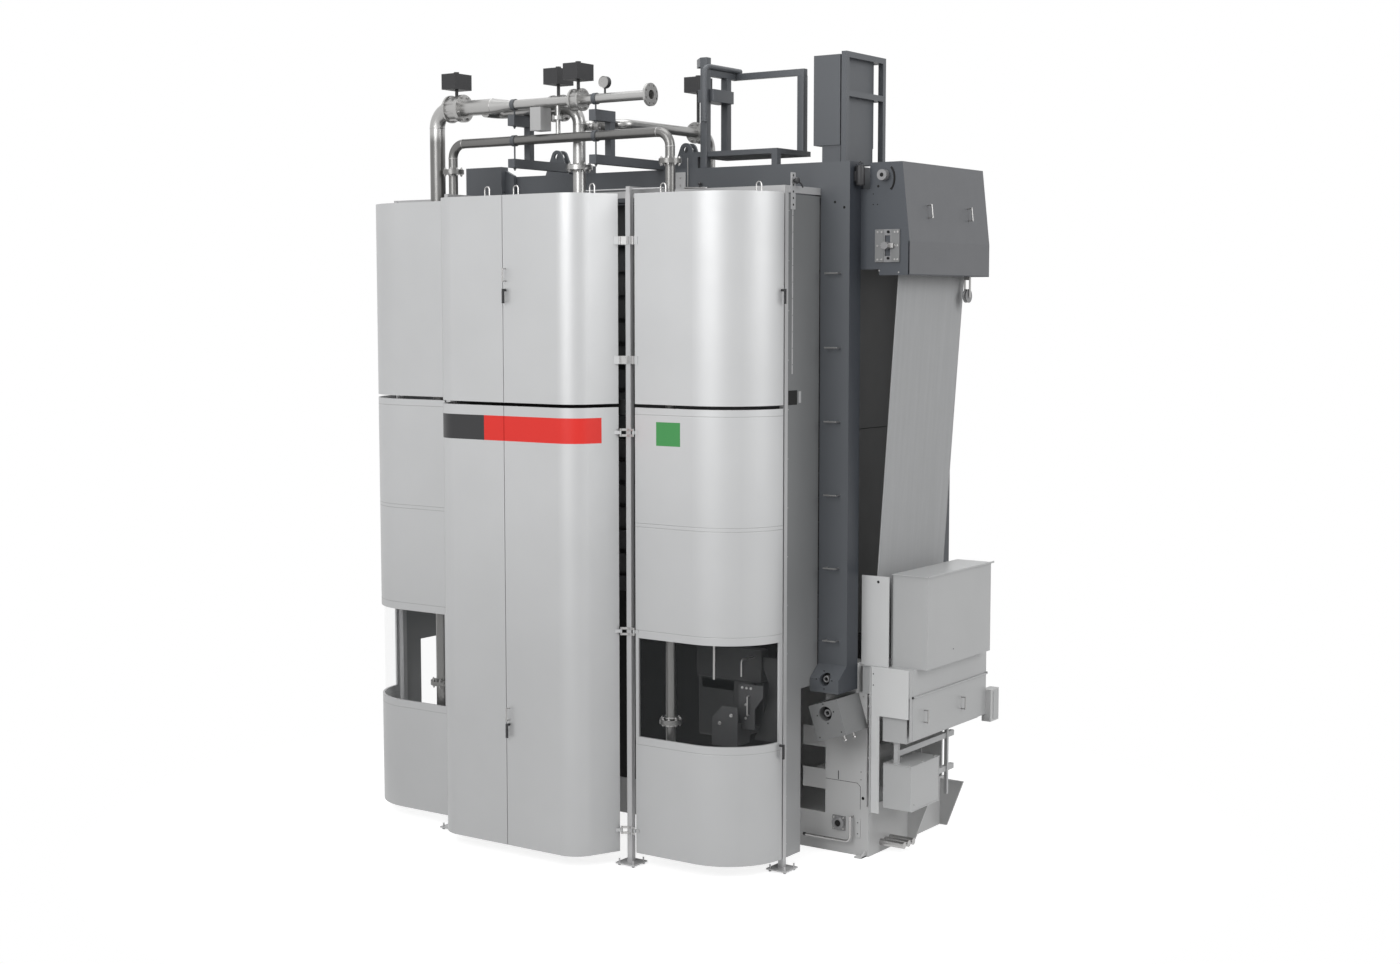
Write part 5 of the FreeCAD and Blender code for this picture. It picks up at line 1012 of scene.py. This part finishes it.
@dataclass
class Press:
    """Pins, holes and bolts of the foot block and the tilted block, and the pack's side sheets."""

    column_x: float = 1920
    foot_face: float = -270
    foot_z: float = 1628.5
    foot_reach: float = 79
    tilt: tuple[float, float] = (1960, 1276)
    tilt_angle: float = 18.0
    tilt_face: float = -280
    tilt_z: float = 60
    tilt_holes: tuple[tuple[float, float], ...] = ((86, 0), (-86, 0), (0, 86), (0, -86), (-118, -190), (112, -185))
    column_holes: tuple[Place, ...] = ((1917, -130, 5767), (2010, -130, 5720))
    bolts: tuple[tuple[float, float], ...] = ((88, -216), (88, -60))
    nut: tuple[tuple[float, float], ...] = ((11, 0), (15, 3), (15, 15), (11, 18))
    side_upper: Block = ((1720, 134, 3770), (1730, 1506, 5808), 4)
    side_lower: Block = ((1720, 134, 1892), (1726, 1506, 3764), 4)

    def tilted(self, shape: Shape) -> Shape:
        """A shape made about a block's middle, turned with the block about Y and moved to it."""
        angle = math.radians(self.tilt_angle)
        matrix = np.array([[math.cos(angle), 0, -math.sin(angle)], [0, 1, 0], [math.sin(angle), 0, math.cos(angle)]])
        middle = at(self.tilt[0], 0, self.tilt[1])
        return shape.moved(-at(0, 0, 0) * [1, 0, 1]).turned(matrix).moved(middle * [1, 0, 1])

    def ring(self, x: float, face: float, z: float, outer: float, inner: float) -> Shape:
        """A hollow pin in a bore: up the outside, over the end face and back into its own bore."""
        profile = [(inner, 30), (inner, 2), (inner + 2, 0), (outer - 3, 0), (outer, 3), (outer, 55)]
        made = lathe(np.array(profile) / 1000, at(x, face + 35, z), Axis.Y, 24)
        return Shape(made.points, made.quads, [])

    def marks(self, x: float, face: float, z: float, inner: float, bore: float,
              holes: Iterable[tuple[float, float]]) -> Shape:
        """The ends of a pin's bore and of the bore round it, and the small holes about them, in black painted shade."""
        return join([
            discs([(x, face + 62, z)], Axis.Y, inner, -0.6), discs([(x, face + 88, z)], Axis.Y, bore, -0.8, 32),
            discs([(x + across, face, z + rise) for across, rise in holes], Axis.Y, 7, -0.6, 12),
        ])

    def bolt(self, x: float, y: float) -> Shape:
        """A bolt with its nut under the tilted block."""
        stem = pin((0, 0, 0), Axis.Z, 52, 9).moved([x / 1000, y / 1000, -0.210])
        return join([stem, lathe(np.array(self.nut) / 1000, at(x, y, -212), Axis.Z, 6)])

    def build(self, shop: Workshop) -> None:
        """Makes both pins, their bores and the small holes round them in black painted shade, the bolts and the side
        sheets.
        """
        x, z, reach = self.column_x, self.foot_z, self.foot_reach
        pins = [self.ring(x, self.foot_face, z, 30, 17)]
        pins.append(self.tilted(self.ring(0, self.tilt_face, self.tilt_z, 34, 18)))
        shop.piece("block_pins", join(pins), "cast")
        around = ((reach, 0), (-reach, 0), (0, reach), (0, -reach))
        # painted shade: the bores and holes are black
        bores = [self.marks(x, self.foot_face, z, 17, 53, around)]
        bores.append(self.tilted(self.marks(0, self.tilt_face, self.tilt_z, 18, 63, self.tilt_holes)))
        bores.append(discs(self.column_holes, Axis.Y, 12, -0.6, 14))
        shop.piece("block_bores", join(bores), "lining")
        bolts = join(self.tilted(self.bolt(*spot)) for spot in self.bolts)
        shop.piece("tilted_block_bolts", bolts, "bright")
        shop.piece("pack_side_upper", plates(self.side_upper), "sheet")
        shop.piece("pack_side_lower", plates(self.side_lower), "sheet")


@dataclass
class Base:
    """Seams, slots and bolts of the right tower, and the sheets that close the throat behind and below."""

    face: float = 100
    bearing: tuple[float, float] = (1866, 270)
    bearing_face: float = 70
    rear: Block = ((-1836, 1512, 336), (1716, 1534, 1475), 4)
    pan: Block = ((-2200, 133, 260), (2080, 1507, 268), 4)
    box: Block = ((1250, 1486, 700), (1420, 1512, 800), 6, 3)
    seams: tuple[Block, ...] = (
        ((1722, 99.2, 653), (2052, 100, 657), 1, 0.3), ((2078, 99.2, 420), (2082, 100, 625), 1, 0.3),
        ((1849, 99.2, 662), (1857, 100, 742), 3, 0.3),
    )
    seam_corner: tuple[tuple[float, float], ...] = ((2050, 657), (2082, 625), (2078, 623), (2048, 653))
    hole: tuple[float, float] = (2107, 524)
    slots: tuple[Place, ...] = ((2061, 88, 200), (2061, 88, 300))
    screws: tuple[Place, ...] = ((2085, 100, 760), (2086, 100, 690), (1745, 100, 1440), (2105, 100, 1440))
    trim: tuple[Block, ...] = (((2037, 88, 163), (2085, 100, 335), 8, 2), ((2070, 10, 0), (2143, 100, 14), 4))
    gusset: tuple[tuple[float, float], ...] = ((10, 0), (100, 0), (100, 60))
    ring: tuple[tuple[float, float], ...] = ((52, 0), (44, -6), (31, -6), (31, 0))
    cap: Place = (1526, 40, 130)

    def build(self, shop: Workshop) -> None:
        """Makes the rear sheet, the pan, the tower's seam and slot, its screws, the slotted plate and the foot."""
        y, front, (x, z) = self.face, self.bearing_face, self.bearing
        # painted light: the throat's rear sheet and pan wear the lighter wash front grey, against the shade in the
        # throat
        shop.piece("rear_throat_sheet", plates(self.rear), "front")
        shop.piece("throat_pan", plates(self.pan), "front")
        shop.piece("throat_box", plates(self.box), "wash")
        # painted shade: the tower's hole, bearing bore and slots are black; the seams are dark joints in the same black
        marks = join([
            plates(*self.seams), cut_plate(self.seam_corner, y - 0.8, y, Axis.Y, 0.5, 0.3),
            discs([(self.hole[0], y, self.hole[1])], Axis.Y, 15, -0.8), discs([(x, front, z)], Axis.Y, 29, -1.0, 24),
            discs(self.slots, Axis.Y, 6, -0.6, 10),
        ])
        shop.piece("tower_marks", marks, "lining")
        bolts = [(x + across, front + 16, z + rise) for across in (-47, 47) for rise in (-47, 47)]
        heads = join([hexes(bolts, Axis.Y, 9, -9), discs(self.screws, Axis.Y, 7, -2.5, 12)])
        shop.piece("tower_fasteners", heads, "bright")
        trim = join([plates(*self.trim), cut_plate(self.gusset, 2129, 2143, Axis.X, 3)])
        shop.piece("tower_trim", trim, "pale")
        ring = lathe(np.array(self.ring) / 1000, at(x, front, z), Axis.Y, 28)
        shop.piece("bearing_ring", Shape(ring.points, ring.quads, []), "cast")
        shop.piece("pull_handle_cap", pin(self.cap, Axis.X, 24, 15), "case")


@dataclass
class HoodFittings:
    """Motor, adjuster, bearing slot and screws of the hood."""

    side: float = 60
    plate_face: float = 48
    motor: tuple[float, float] = (2109, -30)
    motor_foot: float = 5905
    motor_line: tuple[tuple[float, float], ...] = (
        (30, 0), (38, 6), (40, 12), (40, 150), (36, 158), (36, 170), (20, 176),
    )
    motor_box: Block = ((2065, -62, 5940), (2112, 2, 6032), 6, 3)
    eye: tuple[float, float] = (6096, 13)
    slot_middle: tuple[float, float] = (2330, 5965)
    slot_reach: tuple[float, float] = (62, 105)
    small: tuple[tuple[float, float], ...] = ((2186, 5836), (2186, 5746), (2228, 5745))
    heads: tuple[tuple[float, float], ...] = (
        (2056, 5260), (2056, 5400), (2056, 5540), (2056, 5680), (2056, 5800), (2250, 5180), (2440, 5165),
    )
    plate_bolts: tuple[tuple[float, ...], tuple[float, ...]] = ((2240, 2280, 2408, 2436), (5275, 5392, 5508))
    bar: Block = ((2286, 20, 5372), (2404, 34, 5412), 4, 2)
    adjuster: tuple[Block, ...] = (
        ((2214, 44, 5252), (2300, 48.4, 5532), 8, 1), ((2374, 44, 5252), (2452, 48.4, 5532), 8, 1),
    )
    edges: tuple[Block, ...] = (
        ((2532, 60, 5141), (2541.8, 72, 5430), 2, 0.5), ((2541, 62, 5141), (2541.9, 1578, 5150), 2, 0.3),
    )
    hook: tuple[Place, ...] = ((2440, 1350, 4968), (2440, 1320, 4968), (2440, 1310, 4930))

    def build(self, shop: Workshop) -> None:
        """Makes the lifting motor, the marks on the side plate, the screws, the adjuster's plates and the hook.

        The motor's eye is an arc of its radius about its height, and the curved slot is part of an ellipse.
        """
        y, face, (across, depth), (high, reach) = self.side, self.plate_face, self.motor, self.eye
        eye = [at(across + reach * math.cos(t), depth, high + reach * math.sin(t))
               for t in np.linspace(-0.6, math.pi + 0.6, 12)]
        motor = join([
            lathe(np.array(self.motor_line) / 1000, at(across, depth, self.motor_foot), Axis.Z, 24),
            plates(self.motor_box), tube(np.array(eye), 0.004, (0, 1, 0), 8),
        ])
        shop.piece("hood_motor", motor, "case")
        arc = np.linspace(-1.1, 1.1, 15)
        (x, z), (wide, tall) = self.slot_middle, self.slot_reach
        slot = np.stack([x + wide * np.cos(arc), np.full(15, y - 1.0), z + tall * np.sin(arc)], axis=1)
        # painted shade: the curved slot and the holes are black
        marks = join([
            tube(slot / 1000 + MIDDLE, 0.009, (0, 1, 0), 8), discs([(2234, y, 5900)], Axis.Y, 11, -0.6),
            discs([(x, y, z) for x, z in self.small], Axis.Y, 6, -0.6, 10),
            discs([(2299, 0, 5993)], Axis.Y, 18, -0.8, 20),
            discs([(2345, face, 5509), (2345, face, 5285)], Axis.Y, 12, -13.0, 12),
        ])
        shop.piece("hood_marks", marks, "lining")
        columns, levels = self.plate_bolts
        screws = join([
            discs([(x, y, z) for x, z in self.heads], Axis.Y, 7, -2.5, 12),
            hexes([(x, face, z) for x in columns for z in levels], Axis.Y, 9, -9),
            discs([(2533.4, 190 + step * 190, 5165) for step in range(7)], Axis.X, 6, 2.0, 12),
            plates(self.bar), hexes([(2352, 20, 5392)], Axis.Y, 18, -22),
        ])
        shop.piece("hood_fasteners", screws, "bright")
        shop.piece("adjuster_plates", plates(*self.adjuster), "block")
        shop.piece("hood_edges", plates(*self.edges), "dark")
        shop.piece("pulley_hook", bent(self.hook, 5, 12, (1, 0, 0)), "bright")


@dataclass
class WashFittings:
    """Lips, seams, screws and knobs of the washing unit."""

    lips: tuple[Block, ...] = (
        ((2600, 97, 1480), (2618, 1510, 1492), 3, 1), ((2707, 146, 2536), (2716, 1414, 2552), 3, 1),
        ((2100, 60, 1725), (2185, 78, 1731), 3, 1), ((2185, 60, 415), (2197, 78, 1722), 3, 1),
        ((2575, 118, 462), (2580, 648, 472), 2, 1), ((2298, 112, 862), (2582, 652, 868), 3, 1),
        ((2650, 1560, 1050), (2656, 1660, 1310), 4, 1), ((2500, 1530, 1150), (2562, 1560, 1200), 3, 1),
    )
    knobs: tuple[Place, ...] = ((2606, 84, 1478), (2606, 1512, 1478))
    plate_marks: tuple[Place, ...] = ((2215, 78, 1660), (2215, 78, 1560))
    seams: tuple[Block, ...] = (
        ((2590, 91, 1100), (2600.6, 97, 1475), 1, 0.3), ((2345, 157.4, 1735), (2352, 160, 2535), 1, 0.3),
        ((2575, 636, 470), (2576, 640, 860), 1, 0.3),
    )
    bolt_levels: tuple[float, ...] = (1450, 1360, 1180, 1000, 900, 760)
    box_screws: tuple[tuple[float, ...], tuple[float, ...]] = ((2330, 2545), (150, 380, 610))

    def build(self, shop: Workshop) -> None:
        """Makes the lips of cover and boxes, the knobs and marks, the box seams and the screws."""
        shop.piece("wash_lips", plates(*self.lips), "wash")
        knobs = [pin(spot, Axis.Z, 20, 9) for spot in self.knobs] + [
            discs([(2233, 120, 2470)], Axis.Y, 13, -0.8), discs([(2580.5, 170, 520)], Axis.X, 5, 0.8, 10),
            discs([(2707, 640, 1850)], Axis.X, 6, 0.8, 10), discs(self.plate_marks, Axis.Y, 6, -0.8, 10),
        ]
        shop.piece("wash_knobs", join(knobs), "case")
        shop.piece("wash_seams", plates(*self.seams), "shade")
        columns, rows = self.box_screws
        screws = join([
            hexes([(2160, 100, z) for z in self.bolt_levels], Axis.Y, 8, -8),
            discs([(x, y, 868) for x in columns for y in rows], Axis.Z, 8, 6, 12),
        ])
        shop.piece("wash_screws", screws, "bright")


@dataclass
class Gantry:
    """The gantry over the platform: three posts, two beams, a slanted head plate, a link and the grip tube."""

    x: float = 540
    y: float = -90
    half: float = 35
    floors: tuple[float, float] = (6112, 6257)
    top: float = 7090
    head: float = 7012
    head_reach: float = 120
    beam: tuple[float, float] = (6930, 6988)
    beam_half: float = 30
    link: tuple[float, float] = (6700, 6810)
    second: float = 240
    corner: float = 385
    third: float = 1265
    grip_radius: float = 24
    grip: tuple[float, float] = (6520, 7010)

    def post(self, x: float, y: float, low: float, high: float) -> Shape:
        """A square post about a place, with rounded corners: its outline carried from one height to another."""
        half = self.half
        return cut_plate([(x - half, y - half), (x + half, y - half), (x + half, y + half), (x - half, y + half)],
                         low, high, Axis.Z, 6, 2)

    def build(self, shop: Workshop) -> None:
        """Makes the gantry, which stands for its CAD node, and the grip tube that is bent round its head."""
        x, y, half, wide, reach = self.x, self.y, self.half, self.beam_half, self.head_reach
        (low, high), (foot, deck), (under, over) = self.beam, self.floors, self.link
        right, back = x + half, y + half
        parts = [
            self.post(x, y, foot, self.top), self.post(x, self.second, deck, low),
            self.post(self.third, self.corner, deck, low),
            plates(((x - wide, y, low), (x + wide, self.corner + wide, high), 4, 2),
                   ((x, self.corner - wide, low), (self.third + half, self.corner + wide, high), 4, 2),
                   ((x - 85, y, under), (x + 85, self.second, over), 4, 2)),
            cut_plate([(x - half, y - half), (right, back), (right - reach, back + reach),
                       (x - half - reach, y - half + reach)], self.head, self.top, Axis.Z, 4, 2),
        ]
        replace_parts(shop.piece("gantry_frame", join(parts), "dark"), "gantry")
        (start, stop), front = self.grip, y - half - 30
        line = [(right, front, start), (right, front, stop), (right, self.corner + 34, stop)]
        grip = join([bent(line, self.grip_radius, 70, (1, 0, 0), 16), pin((right, front, start + 26), Axis.Y, 30, 16)])
        shop.piece("gantry_grip", grip, "dark")


@dataclass
class TopFittings:
    """The keeper plate on the front beam, its rods and its knob."""

    plate: Block = ((242, -138, 5925), (352, -132, 6080), 6)
    rail: tuple[Place, ...] = ((352, -150, 5938), (594, -150, 5932), (594, -130, 5932))
    rod: Place = (386, -150, 5938)
    bolts: tuple[Place, ...] = ((297, -138, 6030), (297, -138, 5965))
    knob: tuple[tuple[float, float], ...] = ((6, 0), (6, 20), (15, 24), (17, 34), (10, 44))
    knob_place: Place = (518, -150, 5938)
    marks: tuple[Place, ...] = ((-1735, -200, 5895), (-1735, -200, 5965))

    def build(self, shop: Workshop) -> None:
        """Makes the light keeper plate, the thin tube with its rod and bolts, and the knob."""
        shop.piece("keeper_plate", plates(self.plate), "silver")
        rods = join([
            bent(self.rail, 8, 10, (0, 0, 1)), pin(self.rod, Axis.Z, 268, 4, 0.8, 10),
            hexes(self.bolts, Axis.Y, 9, -6),
        ])
        shop.piece("keeper_rods", rods, "bright")
        knob = lathe(np.array(self.knob) / 1000, at(*self.knob_place), Axis.Z, 14)
        shop.piece("keeper_knobs", join([knob, discs(self.marks, Axis.X, 8, 0.6, 12)]), "case")


@dataclass
class FilterCloth:
    """The run of filter cloth from the guide roller down into the washing unit."""

    front: float = 200
    back: float = 1440
    top: tuple[float, float] = (2386.3, 5560)
    low: tuple[float, float] = (2120, 1725)
    thick: float = 0.004
    grid: tuple[int, int] = (97, 49)
    stand: float = 0.005
    ripple: float = 0.0022
    sag: float = 0.004

    def build(self, shop: Workshop) -> None:
        """Makes the cloth.

        The surface runs across from front to back and along from the roller down. Its rise is a slow sag towards
        both long edges plus faint cross ripples, a few millimetres in all, and nothing at the roller.
        """
        across = np.linspace(0, 1, self.grid[1])[None, :]
        along = np.linspace(0, 1, self.grid[0])[:, None]
        start, stop = at(self.top[0], self.front, self.top[1]), at(self.low[0], self.back, self.low[1])
        bow = np.sin(math.pi * along)
        ripple = self.ripple * np.sin(across * 17 + along * 3) * bow ** 0.5
        sag = self.sag * bow * (2 * across - 1) ** 2
        rows = np.zeros((*self.grid, 3))
        rows[:, :, 0] = start[0] + (stop[0] - start[0]) * along + self.stand + ripple - sag
        rows[:, :, 1] = start[1] + (stop[1] - start[1]) * across
        rows[:, :, 2] = start[2] + (stop[2] - start[2]) * along
        cloth = shop.piece("filter_cloth_run", net(rows[:, ::-1], ends=False), "cloth", 180)
        layer = cloth.data.uv_layers.new(name="cloth")
        wide = (self.back - self.front) / 1000
        long = float(np.linalg.norm(start[[0, 2]] - stop[[0, 2]]))
        spots = np.stack(np.broadcast_arrays(across[:, ::-1] * wide, along * long), axis=-1)
        corner = np.zeros(len(cloth.data.loops), dtype=np.int32)
        cloth.data.loops.foreach_get("vertex_index", corner)
        layer.data.foreach_set("uv", spots.reshape(-1, 2)[corner].ravel())
        solid = cloth.modifiers.new("thickness", "SOLIDIFY")
        solid.thickness = self.thick
        solid.offset = 0.0
        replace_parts(cloth, "filter_cloth")


@dataclass
class Studio:
    """The camera at the photograph's place, the floor, the world and the lamps.

    A lamp is its name, place, size, power and the place that it looks at.
    """

    place: Place = (10.6225, -14.7565, 4.890)
    yaw: float = 34.7
    pitch: float = 5.2
    lens: float = 50.14
    sensor: float = 36.0
    lamps: tuple[tuple[str, Place, tuple[float, float], float, Place], ...] = (
        ("key_lamp", (1.0, -14.0, 9.5), (8.0, 8.0), 930.0, (0, -1, 4)),
        ("fill_lamp", (15.0, 0.0, 10.0), (7.0, 9.0), 720.0, (1, 0, 3)),
        ("top_lamp", (0.0, -1.0, 15.0), (9.0, 9.0), 700.0, (0, 0, 0)),
    )
    world_light: float = 0.5
    floor_half: float = 60.0
    floor_colour: float = 0.5
    floor_glow: float = 0.78
    floor_fade: tuple[float, float] = (3.2, 5.5)

    def build(self) -> None:
        """Makes the camera, the world, the floor and three soft lamps."""
        scene = bpy.context.scene
        camera = bpy.data.cameras.new("photo_camera")
        camera.lens = self.lens
        camera.sensor_width = self.sensor
        camera.clip_end = 200.0
        stand = bpy.data.objects.new("photo_camera", camera)
        stand.location = self.place
        stand.rotation_euler = Euler((math.radians(90 - self.pitch), 0, math.radians(self.yaw)))
        scene.collection.objects.link(stand)
        scene.camera = stand
        scene.world = self.world()
        self.floor(scene)
        for name, spot, size, power, target in self.lamps:
            lamp = bpy.data.lights.new(name, "AREA")
            lamp.shape = "RECTANGLE"
            lamp.size, lamp.size_y = size
            lamp.energy = power
            holder = bpy.data.objects.new(name, lamp)
            holder.location = spot
            holder.rotation_euler = (Vector(target) - Vector(spot)).to_track_quat("-Z", "Y").to_euler()
            scene.collection.objects.link(holder)
        scene.view_settings.view_transform = "Standard"

    def world(self) -> bpy.types.World:
        """White for the camera, for gloss and through glass, and a plain grey light on everything else."""
        bench = Bench(bpy.data.worlds.new("studio_world"), "ShaderNodeOutputWorld")
        camera, gloss, glass = bench.seen()
        strength = bench.add("ShaderNodeMapRange", {},
                             {"Value": camera.larger(glass).larger(gloss), "To Min": self.world_light, "To Max": 1.0})
        return bench.end(bench.add("ShaderNodeBackground", {}, {"Color": WHITE, "Strength": strength}))

    def floor(self, scene: bpy.types.Scene) -> None:
        """A wide pale floor that keeps the press's shadow and fades into the white."""
        mesh = bpy.data.meshes.new("studio_floor")
        half = self.floor_half
        mesh.from_pydata([(-half, -half, 0), (half, -half, 0), (half, half, 0), (-half, half, 0)], [], [(0, 1, 2, 3)])
        floor = bpy.data.objects.new("studio_floor", mesh)
        scene.collection.objects.link(floor)
        bench = Bench.material("studio_floor_white")
        camera, gloss, _ = bench.seen()
        seen = camera.larger(gloss)
        matte = bench.add("ShaderNodeBsdfDiffuse", {}, {"Color": (*[self.floor_colour] * 3, 1)})
        glow = bench.add("ShaderNodeEmission", {}, {"Color": WHITE, "Strength": seen * self.floor_glow})
        near = bench.add("ShaderNodeAddShader", {}, {0: matte, 1: glow})
        x, y, _ = bench.split(bench.place())
        far = ((x * x + y * y) ** 0.5).step(*self.floor_fade)
        plain = bench.add("ShaderNodeEmission", {}, {"Color": WHITE, "Strength": 1.0})
        mesh.materials.append(bench.end(bench.add("ShaderNodeMixShader", {}, {0: far * seen, 1: near, 2: plain})))


def dress(thing: bpy.types.Object, material: bpy.types.Material) -> None:
    """Puts a finish on a CAD node: on each of its slots, or as its mesh's first material where it has none."""
    if not thing.material_slots:
        thing.data.materials.append(material)
        return
    for place in thing.material_slots:
        place.link = "OBJECT"
        place.material = material


def main() -> None:
    """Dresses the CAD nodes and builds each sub-assembly."""
    logging.basicConfig(level=logging.INFO, format="%(name)s: %(message)s")
    Studio().build()
    finishes = Finishes()
    for name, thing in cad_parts.items():
        dress(thing, finishes.for_node(name))
    shop = Workshop(finishes)
    for assembly in (Pipework(), Cabinets(), WindowBay(), Press(), Base(), HoodFittings(), WashFittings(), Gantry(),
                     TopFittings(), FilterCloth()):
        LOG.info("building %s", type(assembly).__name__)
        assembly.build(shop)


if __name__ == "__main__":
    main()
